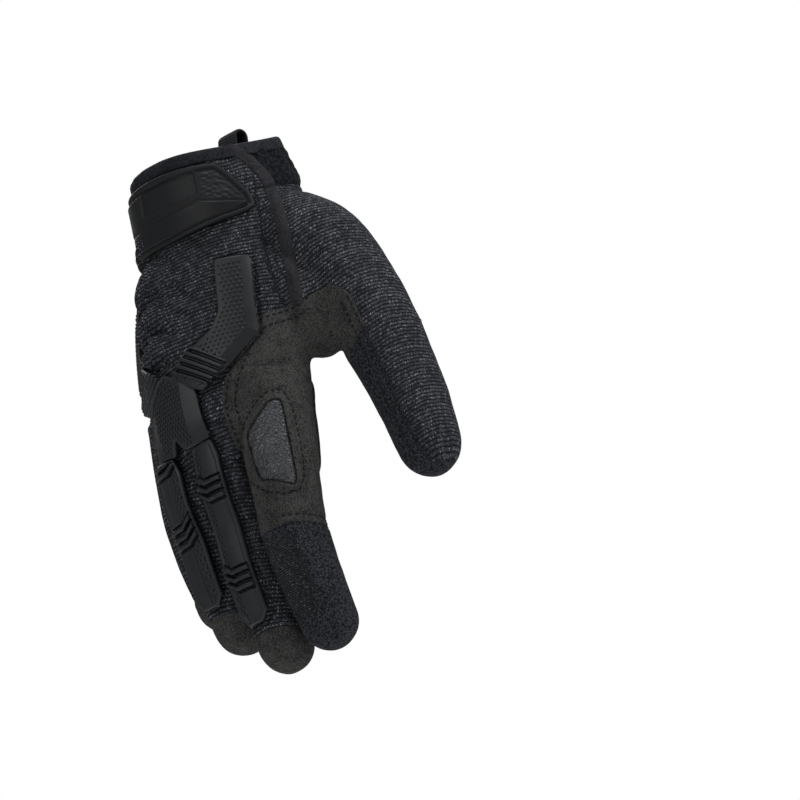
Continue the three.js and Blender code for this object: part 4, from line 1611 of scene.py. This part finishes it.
@dataclass
class Guard:
    """The moulded knuckle guard and its two finger bars: a satin body with stippled and smooth facets,
    ribs across it and a bead along its edges."""

    form: GloveForm
    finishes: Finishes
    lift: float = 2.8
    dot_pitch: float = 2.2
    dot_radius: float = 0.78
    dot_height: float = 0.6
    rib_pitch: float = 3.4
    rib_low: float = 1.0
    rib_high: float = 3.9
    # The arms' ribs: place on the side view, slope, pitch, half the group's reach along and across them
    arm_ribs: tuple = (-13.0, -96.5)
    arm_rib_slope: float = -40.0
    arm_rib_pitch: float = 2.8
    arm_rib_reach: tuple = (10.5, 5.9)
    # Heights of the two groups of ribs on each bar
    middle_ribs: tuple = (-148, -187)
    ring_ribs: tuple = (-129, -159)

    def body(self, value: Array) -> Surface:
        """The fine patch of the form under the guard, where value is positive."""
        skin = self.form.plain
        return skin.part(value).finer(2)

    def edge(self, inside: Array) -> Array:
        """Height of the rounded moulded edge at a distance inside the outline."""
        return self.lift - 0.9 + 0.9 * np.sqrt(1 - (1 - np.clip(inside / 0.8, 0, 1)) ** 2)

    def dots(self, top: Surface, side: Side, wanted: Array, box: tuple) -> tuple[Array, Array]:
        """Low domes in a honeycomb over part of a surface.

        Args:
            top: the surface they sit on.
            side: the side the honeycomb is laid out on.
            wanted: above zero at the points of the surface that carry dots.
            box: lowest and highest across and up of the honeycomb.

        Returns:
            Points and triangles of all domes.
        """
        low_a, high_a, low_z, high_z = box
        columns = np.arange(low_a, high_a, self.dot_pitch)
        rows = np.arange(low_z, high_z, self.dot_pitch * 0.866)
        a, z = np.meshgrid(columns, rows)
        a = a + (np.arange(len(rows)) % 2)[:, None] * self.dot_pitch / 2
        drape = Drape(top.part(wanted))
        places, normals = drape.laid(np.stack([a.ravel(), z.ravel()], 1), side, 0.05)
        turn = np.linspace(0, 2 * np.pi, 7)[:-1]
        aside = unit(np.cross(normals, [0.0, 0.0, 1.0]))
        ahead = np.cross(normals, aside)
        rings = [(self.dot_radius, 0.0), (0.52, 0.45)]
        layers = [
            places[:, None] + normals[:, None] * h + r * (
                aside[:, None] * np.cos(turn)[None, :, None] + ahead[:, None] * np.sin(turn)[None, :, None])
            for r, h in rings
        ]
        peak = (places + normals * self.dot_height)[:, None]
        points = np.concatenate([*layers, peak], 1)
        j, k = np.arange(6), (np.arange(6) + 1) % 6
        faces = np.concatenate([
            np.stack([j, k, k + 6], 1), np.stack([j, k + 6, j + 6], 1),
            np.stack([j + 6, k + 6, np.full(6, 12)], 1),
            np.array([(0, 2, 1), (0, 3, 2), (0, 4, 3), (0, 5, 4)]),
        ])
        tris = faces[None] + (np.arange(len(places)) * 13)[:, None, None]
        points, tris = points.reshape(-1, 3), tris.reshape(-1, 3)
        return (points, tris) if outwards(points - points.mean(0), tris) else (points, tris[:, ::-1])

    def ribbed(self, along: Array, zone: Array, height: Array, pitch: float) -> Array:
        """Ribs across a zone: flat-topped bars with deep gaps between.

        Args:
            along: distance across the ribs from the zone's middle.
            zone: 1 inside the zone and 0 outside.
            height: the height without ribs.
            pitch: distance from rib to rib.

        Returns:
            The height with ribs.
        """
        wave = np.abs((along / pitch) % 1 - 0.5) * 2
        rib = self.rib_low + (self.rib_high - self.rib_low) * smoothstep(0.28, 0.62, 1 - wave)
        return height * (1 - zone) + zone * rib

    def build(self) -> None:
        """Makes the guard over the knuckles and the two bars."""
        self.knuckles()
        self.bar("middle_bar_rubber", "middle_guard_bar", *MIDDLE_BAR, self.middle_ribs, 1)
        self.bar("ring_bar_rubber", "ring_guard_bar", *RING_BAR, self.ring_ribs, -1)

    def knuckles(self) -> None:
        """Two dog-leg arms that meet in a stippled plate."""
        skin = self.form.plain
        near = [arm_inside(skin, side) for side in (Side.VIEW, Side.FAR)]
        patch = self.body(np.maximum(plate_inside(skin), np.maximum(near[0][0], near[1][0])))
        inside_plate = plate_inside(patch)
        arms = [arm_inside(patch, side) for side in (Side.VIEW, Side.FAR)]
        inside = np.maximum(inside_plate, np.maximum(arms[0][0], arms[1][0]))
        height = self.edge(inside)
        h = np.abs(patch.points[:, 0] - GUARD_AXIS_X)
        z = patch.points[:, 2]
        band = smoothstep(10.5, 11.2, h) * (z < -100)
        height = np.where(inside_plate > 0, height - band * 0.25 * (h - 10.8), height)
        bevels = np.zeros(len(z))
        for side, (arm, outer, u) in zip((Side.VIEW, Side.FAR), arms):
            bevel = np.minimum(height, 1.1 + 0.36 * outer)
            flat = (arm > 0) & (z > -105) & ((inside_plate < 0) | (z > -92))
            height = np.where(flat, bevel, height)
            bevels = np.where(flat, smoothstep(5.2, 4.8, outer), bevels)
            slope = math.radians(self.arm_rib_slope)
            right, rise = u - self.arm_ribs[0], z - self.arm_ribs[1]
            along = right * -math.sin(slope) + rise * math.cos(slope)
            ahead = right * math.cos(slope) + rise * math.sin(slope)
            far, wide = self.arm_rib_reach
            zone = smoothstep(wide, wide - 0.4, np.abs(along)) * smoothstep(far, far - 0.5, np.abs(ahead))
            zone = zone * (arm > 0)
            height = self.ribbed(along + self.arm_rib_pitch / 2, zone, height, self.arm_rib_pitch)
            bevels = np.maximum(bevels, zone)
        top = patch.raised(height)
        wanted = np.minimum(inside - 1.7, 0.5 - bevels)
        wanted = np.minimum(wanted, 0.5 - band * (inside_plate > 0))
        only_plate = np.minimum(inside_plate, -np.maximum(arms[0][0], arms[1][0]))
        parts = [self.dots(top, Side.VIEW, np.minimum(wanted, arms[0][0]), (-30, 16, -100, -50)),
                 self.dots(top, Side.FAR, np.minimum(wanted, arms[1][0]), (-30, 22, -100, -50)),
                 self.dots(top, Side.BACK, np.minimum(wanted, only_plate), (-30, 16, -128, -92))]
        self.finish("knuckle_guard_rubber", "knuckle_guard", top, patch, parts)

    def finish(self, name: str, node: str, top: Surface, patch: Surface, parts: list) -> None:
        """Closes the body under its top, adds the dots and makes the piece.

        Args:
            name: the piece's name.
            node: the solid it stands for.
            top: its outer surface.
            patch: the form under it, with the same triangles.
            parts: points and triangles of its dots.
        """
        bottom = patch.points + patch.normals * 0.2
        points, tris, sharp = closed_shell(top.points, bottom, top.tris)
        points, tris = joined([(points, tris), *[part for part in parts if len(part[0])]])
        piece = mesh_object(name, points, tris, None, sharp)
        dress(piece, self.finishes.rubber, (node,))

    def bar(self, name: str, node: str, x: float, end: float, half: float, ribs: tuple, hand: int) -> None:
        """A finger's bar: bead, stippled channel, groove, smooth facet and bead from one side to the
        other, with two groups of bent ribs.

        Args:
            name: the piece's name.
            node: the solid it stands for.
            x: the bar's middle.
            end: height of its lower end.
            half: half its width.
            ribs: heights of the two groups of ribs.
            hand: 1 with the smooth facet towards the thumb, -1 the other way.
        """
        skin = self.form.plain
        patch = self.body(bar_inside(skin, x, end, half))
        inside = bar_inside(patch, x, end, half)
        place = (patch.points[:, 0] - x) * hand
        z = patch.points[:, 2]
        height = self.edge(inside) - 0.7 * smoothstep(1.4, 2.1, inside)
        height = height + 0.75 * smoothstep(-2.2, -1.6, place) * smoothstep(1.4, 2.1, inside)
        height = height - 0.10 * np.clip(place, 0, None) * smoothstep(1.4, 2.1, inside)
        bends = [z - level - 0.75 * np.clip(-1.5 - place, 0, None) for level in ribs]
        for bent in bends:
            zone = smoothstep(5.6, 5.1, np.abs(bent)) * smoothstep(0.9, 1.3, inside)
            height = self.ribbed(bent + self.rib_pitch / 2, zone, height, self.rib_pitch)
        top = patch.raised(height)
        channel = np.minimum(np.minimum(-2.8 - place, place + half - 2.4), inside - 1.9)
        for bent in bends:
            channel = np.minimum(channel, np.abs(bent) - 6.2)
        parts = [self.dots(top, Side.BACK, channel, (x - half, x + half, end, -128))]
        self.finish(name, node, top, patch, parts)


@dataclass
class Cuff:
    """The cuff band, its binding, the moulded wrist strap and the pull loop."""

    form: GloveForm
    finishes: Finishes
    lift: float = 1.0
    # Distance of the strap's stitched groove from its edge
    groove: float = 2.7
    webbing: float = 1.3
    # Rows: turn round the cuff, and the strap's lower and upper edge there
    strap: list = field(default_factory=lambda: [
        (17.5, -29.5, -26.5), (21, -30.8, -21.5), (26, -31.5, -14.5), (32, -32, -9), (39, -32.3, -5.8),
        (90, -33.5, -5.4), (150, -32, -5.4), (200, -29, -5.6), (245, -26, -6), (258, -23, -9),
        (264, -19, -12.5),
    ])

    def place(self, turn: Array, z: Array, grow: Array | float = 0.0) -> Array:
        """A point on the cuff's outside at a turn from +X towards the back and at a height: the rounded
        section of that height, leaned and crowned.

        Args:
            turn: degrees from +X towards the back.
            z: height before it is leaned.
            grow: how far outside the cuff.

        Returns:
            The places.
        """
        rows = [at_level(HAND, k, z) for k in range(7)]
        a = np.radians(turn)
        power = 2 / SQUARENESS
        cos, sin = np.cos(a), -np.sin(a)
        x = rows[0] + (rows[3] + grow) * np.sign(cos) * np.abs(cos) ** power
        y = rows[1] + (rows[4] + grow) * np.sign(sin) * np.abs(sin) ** power
        return leaned(x, y, z, np.maximum(rows[6], 0))

    def build(self) -> None:
        """Makes the cuff's pieces."""
        self.band()
        self.binding()
        self.wrist_strap()
        self.pull_loop()

    def band(self) -> None:
        """Knit towards the back and loop fleece from the welt round to the palm."""
        form, skin = self.form, self.form.dressed
        points = form.plain.points
        rim = form.below_rim(points)
        cuff = np.minimum(-form.below_wrist(points), rim - BINDING_HEIGHT + 0.6)
        turn = np.degrees(np.arctan2(-points[:, 1], points[:, 0])) % 360
        welt = within(np.vstack([rounded(WELT_PATH, 2, closed=False), [(120, -78), (120, 1)]]),
                      skin.across(Side.VIEW), points[:, 2])
        fleece = np.where((turn > 90) & (turn < 300), (turn - 262) * 0.6, np.where(turn > 180, 20, welt))
        shell_piece("cuff_band_knit", skin.part(np.minimum(cuff, -fleece)), WALL, self.finishes.knit,
                    ("cuff_band",))
        shell_piece("cuff_band_fleece", skin.part(np.minimum(cuff, fleece)), WALL, self.finishes.fleece)

    def binding(self) -> None:
        """A tape folded over the rim: its closed profile runs up the outside, over and down inside."""
        sides = 240
        turn = np.linspace(0, 360, sides, endpoint=False)
        over = np.radians(np.linspace(0, 180, 9))
        proud, wall = 0.75, 2.7
        fold = proud - wall / 2 + wall / 2 * np.cos(over)
        grow = np.concatenate([[0.5, proud], fold, [proud - wall, 0.9 - wall]])
        z = np.concatenate([[-BINDING_HEIGHT, -BINDING_HEIGHT + 0.5], -1.35 + 1.35 * np.sin(over),
                            [-BINDING_HEIGHT + 0.5, -BINDING_HEIGHT]])
        turns, grows = np.meshgrid(turn, grow, indexing="ij")
        heights = np.broadcast_to(z, grows.shape)
        wave = 0.12 * np.sin(np.radians(turns) * 23) + 0.1 * np.sin(np.radians(turns) * 61)
        points = self.place(turns, heights, grows + wave)
        tris = grid_faces(*points.shape[:2], closed=True)
        points = points.reshape(-1, 3)
        if not outwards(points, tris):
            tris = tris[:, ::-1]
        piece = mesh_object("cuff_binding_tape", points, tris)
        dress(piece, self.finishes.tape, ("cuff_binding",))

    def sheet(self, low: float, high: float, step: float) -> tuple[Surface, Array]:
        """The cuff's outside as a fine sheet, and each point's turn; its weave is length round and up.

        Args:
            low: lowest height.
            high: highest height.
            step: degrees from one column to the next.

        Returns:
            The sheet, and each point's turn.
        """
        turns = np.arange(0, 275, step)
        heights = np.arange(low, high, step / 1.6)
        t, z = np.meshgrid(turns, heights, indexing="ij")
        points = self.place(t, z, self.lift).reshape(-1, 3)
        tris = grid_faces(*t.shape, closed=False)
        normals = vertex_normals(points, tris)
        if float((normals[:, :2] * points[:, :2]).sum()) < 0:
            tris, normals = tris[:, ::-1], -normals
        length = self.run(t.ravel())
        return Surface(points, tris, normals, np.stack([length, z.ravel()], 1)), t.ravel()

    def run(self, turn: Array) -> Array:
        """Length round the cuff up to each turn."""
        turns = np.arange(-5, 300, 1.0)
        places = self.place(turns, np.full(len(turns), -13.0), self.lift)
        length = np.r_[0, np.cumsum(np.linalg.norm(np.diff(places, axis=0), axis=1))]
        return np.interp(turn, turns, length)

    def wrist_strap(self) -> None:
        """The moulded strap: a flange with a stitched groove round a raised field, which has a smooth
        lower facet, a stippled upper one and a sunk bare plate."""
        sheet, _ = self.sheet(-37, -2, 0.8)
        rows = np.array(self.strap, float)
        length = self.run(rows[:, 0])
        upper, lower_edge = np.stack([length, rows[:, 2]], 1), np.stack([length, rows[:, 1]], 1)
        outline = rounded(np.vstack([upper, lower_edge[::-1]]), 2)
        patch = sheet.part(within(outline, *sheet.weave.T)).finer(1)
        s, z = patch.weave.T
        inside = within(outline, s, z)
        middle = smoothstep(3.3, 4.0, inside)
        height = 1.6 * np.sqrt(1 - (1 - np.clip(inside / 1.0, 0, 1)) ** 2) + 0.2
        height = height - 0.7 * np.exp(-(((inside - self.groove) / 0.6) ** 2)) + 0.8 * middle
        crease = np.interp(s, self.run(np.array([20.0, 25.0, 60.0, 110.0])), [-28.0, -26.6, -19.8, -20.8])
        lower = np.clip(crease - z, 0, None)
        height = height - middle * 0.09 * lower
        height = height - middle * 0.45 * np.exp(-(((z - crease) / 0.5) ** 2)) * smoothstep(4.0, 5.0, inside)
        left, right = self.run(np.array([58.0, 104.0]))
        plate = rounded([(left, -18.5), (right, -17.6), (right - 1, -8), (left - 1.5, -8.6)], 1, cut=0.08)
        sunk = within(plate, s, z)
        height = height - 0.7 * smoothstep(0, 0.6, sunk) + 0.25 * np.exp(-(((sunk + 0.9) / 0.5) ** 2))
        stipple = middle * (z > crease + 0.8) * (sunk < -1.8) * (s < left)
        height = height + stipple * 0.22 * smooth_noise(patch.points, 1.6, 31)
        top = patch.raised(height)
        bottom = patch.points.copy()
        points, tris, sharp = closed_shell(top.points, bottom, top.tris)
        piece = mesh_object("wrist_strap_rubber", points, tris, np.vstack([patch.weave, patch.weave]), sharp)
        dress(piece, self.finishes.strap, ("wrist_strap",))
        self.outline, self.top = outline, top

    def stitch_path(self) -> tuple[Array, Array]:
        """Where the strap's thread runs: in the groove beside its edge."""
        path = stepped(grown(self.outline, -self.groove), 0.8, closed=True)
        gap = self.top.weave[None] - path[:, None]
        nearest = (gap**2).sum(-1).argmin(1)
        return self.top.points[nearest], self.top.normals[nearest]

    def pull_loop(self) -> None:
        """A band of webbing bent in a loop: a rounded profile carried up, over and down."""
        webbing = self.webbing
        low_corner, high_corner = (np.array(c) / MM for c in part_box("pull_loop"))
        x, middle, _ = (low_corner + high_corner) / 2
        wide, deep, _ = high_corner - low_corner
        radius = (deep - webbing) / 2
        crest = high_corner[2] - radius - webbing / 2
        turn = np.linspace(0, np.pi, 17)
        y = np.concatenate([np.full(6, radius), radius * np.cos(turn), np.full(6, -radius)])
        low = low_corner[2] + webbing / 2 + 0.6
        z = np.concatenate([np.linspace(low + 0.6, crest, 7)[:-1], crest + radius * np.sin(turn),
                            np.linspace(crest, low - 0.6, 7)[1:]])
        path = np.stack([y, z], 1)
        across, up = np.linspace(-radius, radius, 8), np.linspace(low - 0.6, low + 0.6, 8)
        path = np.vstack([path, np.stack([across, up], 1)[1:-1]])
        along = unit(np.roll(path, -1, 0) - np.roll(path, 1, 0))
        out = np.stack([along[:, 1], -along[:, 0]], 1)
        corner = np.linspace(0, 2 * np.pi, 20, endpoint=False)
        px = np.sign(np.cos(corner)) * np.abs(np.cos(corner)) ** 0.35 * wide / 2
        pt = np.sign(np.sin(corner)) * np.abs(np.sin(corner)) ** 0.5 * webbing / 2
        points = np.stack([
            np.broadcast_to(x + px, (len(path), 20)),
            middle + path[:, :1] + out[:, :1] * pt, path[:, 1:] + out[:, 1:] * pt,
        ], -1)
        rings, count = points.shape[:2]
        run = np.r_[0, np.cumsum(np.linalg.norm(np.diff(path, axis=0), axis=1))]
        weave = np.stack(np.broadcast_arrays(px, run[:, None]), -1)
        tris = grid_faces(rings, count, closed=True)
        points = points.reshape(-1, 3)
        if not outwards(points - points.mean(0), tris):
            tris = tris[:, ::-1]
        piece = mesh_object("pull_loop_webbing", points, tris, weave.reshape(-1, 2))
        dress(piece, self.finishes.webbing, ("pull_loop",))


@dataclass
class Stitching:
    """Rows of thread along the glove's seams."""

    form: GloveForm
    finishes: Finishes
    cuff: Cuff

    def rows(self) -> list:
        """Paths with their side and whether they close: across and up in mm."""
        rows = []
        skin = self.form.plain
        edge = seam_line(skin, self.form.suede(skin.points), Side.VIEW, GUSSET_GUIDE)
        thumb = seam_line(skin, self.form.thumb_knit(skin.points), Side.VIEW, THUMB_SIDE[3:8][::-1])
        for offset in (1.5, 5.4):
            rows.append((beside(edge, offset), Side.VIEW, False))
            rows.append((beside(thumb, -offset * 0.85), Side.VIEW, False))
        for z in (INDEX_SEAM_Z, INDEX_SEAM_Z + 3.4):
            rows.append((np.array([(11, z), (36, z)], float), Side.VIEW, False))
            rows.append((np.array([(20, z), (44, z)], float), Side.PALM, False))
        rows.append((grown(rounded(SIDE_PAD_D), 4.6), Side.VIEW, True))
        for outline in (HEEL_PAD, SIDE_PAD):
            for offset in (1.2, 4.2):
                rows.append((grown(rounded(outline), offset), Side.PALM, True))
        for offset in (-1.8, -4.8):
            rows.append((grown(rounded(REINFORCEMENT), offset), Side.PALM, True))
        for offset in (0.0, 3.2):
            path = np.array([(50, -109), (76, -92.5)], float) + [offset * 0.5, offset * 0.85]
            rows.append((path, Side.PALM, False))
        rows.append((np.array(INDEX_BACK_STITCHES, float), Side.BACK, False))
        return rows

    def build(self) -> None:
        """Lays every row and joins them in one piece."""
        parts = []
        for path, side, closed in self.rows():
            places, normals = self.form.drape.laid(stepped(path, 1.0, closed), side, 0.0)
            if len(places) > 3:
                parts.append(stitches(places, normals))
        places, normals = self.cuff.stitch_path()
        parts.append(stitches(places + normals * 0.05, normals, 1.5, 2.2, 0.55))
        points, tris = joined(parts)
        piece = mesh_object("seam_thread", points, tris)
        dress(piece, self.finishes.thread)


# Camera and light ------------------------------------------------------------------------------------


@dataclass
class Studio:
    """Pale floor, pale surroundings, soft lamps and the camera."""

    turn: float = 50.0
    tilt: float = -18.0
    # Cosine and sine of the camera's roll, and the photograph's pixel of the wrist's middle
    roll: tuple = (0.990, 0.139)
    wrist_pixel: tuple = (205, 168)
    picture_side: int = 800
    mm_per_pixel: float = 0.42
    distance: float = 1.1
    floor_half: float = 3000.0
    floor_level: float = -700.0

    def build(self) -> None:
        """Makes the camera, the lamps, the floor and the surroundings."""
        a, e = math.radians(self.turn), math.radians(self.tilt)
        back = Vector((math.sin(a) * math.cos(e), -math.cos(a) * math.cos(e), math.sin(e)))
        level = Vector((math.cos(a), math.sin(a), 0))
        rise = back.cross(level)
        cosine, sine = self.roll
        right = cosine * level - sine * rise
        up = sine * level + cosine * rise
        along, down = (self.picture_side / 2 - pixel for pixel in self.wrist_pixel)
        target = (right * along - up * down) * self.mm_per_pixel * MM
        camera = bpy.data.cameras.new("camera")
        camera.type = "ORTHO"
        camera.ortho_scale = self.picture_side * self.mm_per_pixel * MM
        camera.clip_start = 0.01
        eye = bpy.data.objects.new("camera", camera)
        turned = Matrix((right, up, back)).transposed().to_4x4()
        eye.matrix_world = Matrix.Translation(target + back * self.distance) @ turned
        bpy.context.scene.collection.objects.link(eye)
        bpy.context.scene.camera = eye
        self.lamp("key", target, back * 0.4 + right * 0.9 + up * 0.7, 1.0, 0.4, 9)
        self.lamp("fill", target, back * 0.5 - right * 0.9 + up * 0.3, 1.1, 0.5, 3)
        self.lamp("top", target, up * 1.0 - right * 0.3 + back * 0.15, 0.9, 0.6, 5)
        self.lamp("low", target, back * 0.5 + right * 0.8 - up * 0.6, 1.1, 0.4, 3)
        self.lamp("rear", target, right * -0.2 - back * 1.0 + up * 0.5, 1.1, 0.8, 9)
        self.floor()
        world = bpy.data.worlds.new("surroundings")
        world.use_nodes = True
        seen = add(world.node_tree, "ShaderNodeLightPath").outputs["Is Camera Ray"]
        strength = calc(world.node_tree, "ADD", calc(world.node_tree, "MULTIPLY", seen, 0.78), 0.22)
        background = world.node_tree.nodes["Background"]
        background.inputs["Color"].default_value = linear("ffffff")
        world.node_tree.links.new(strength, background.inputs["Strength"])
        bpy.context.scene.world = world
        bpy.context.scene.view_settings.view_transform = "Standard"

    def lamp(self, name: str, target: Vector, way: Vector, distance: float, size: float,
             power: float) -> None:
        """A soft square lamp that looks at the target.

        Args:
            name: the lamp's name.
            target: the place that it looks at.
            way: the direction from there to the lamp.
            distance: how far it stands off in metres.
            size: its side in metres.
            power: its watts.
        """
        light = bpy.data.lights.new(name, "AREA")
        light.size = size
        light.energy = power
        lamp = bpy.data.objects.new(name, light)
        way = way.normalized()
        lamp.location = target + way * distance
        lamp.rotation_mode = "QUATERNION"
        lamp.rotation_quaternion = way.to_track_quat("Z", "Y")
        bpy.context.scene.collection.objects.link(lamp)

    def floor(self) -> None:
        """A pale floor below the camera."""
        half, low = self.floor_half, self.floor_level
        points = np.array([(-half, -half, low), (half, -half, low), (half, half, low), (-half, half, low)])
        piece = mesh_object("floor", points, np.array([(0, 1, 2), (0, 2, 3)]))
        finish = Finish("pale_floor", "ececec", "f6f6f6", 0.9, 0.1)
        material, tree, shader = finish.start()
        finish.colours(tree, add(tree, "ShaderNodeTexNoise", None, Scale=3.0).outputs["Fac"], shader)
        shader.inputs["Emission Color"].default_value = linear("ffffff")
        shader.inputs["Emission Strength"].default_value = 0.3
        piece.data.materials.append(material)


def main() -> None:
    """Builds the glove in order."""
    logging.basicConfig(level=logging.INFO, format="%(name)s: %(message)s")
    Studio().build()
    finishes = Finishes()
    form = GloveForm()
    ClothPanels(form, finishes).build()
    Pads(form, finishes).build()
    Guard(form, finishes).build()
    cuff = Cuff(form, finishes)
    cuff.build()
    Stitching(form, finishes, cuff).build()


if __name__ == "__main__":
    main()
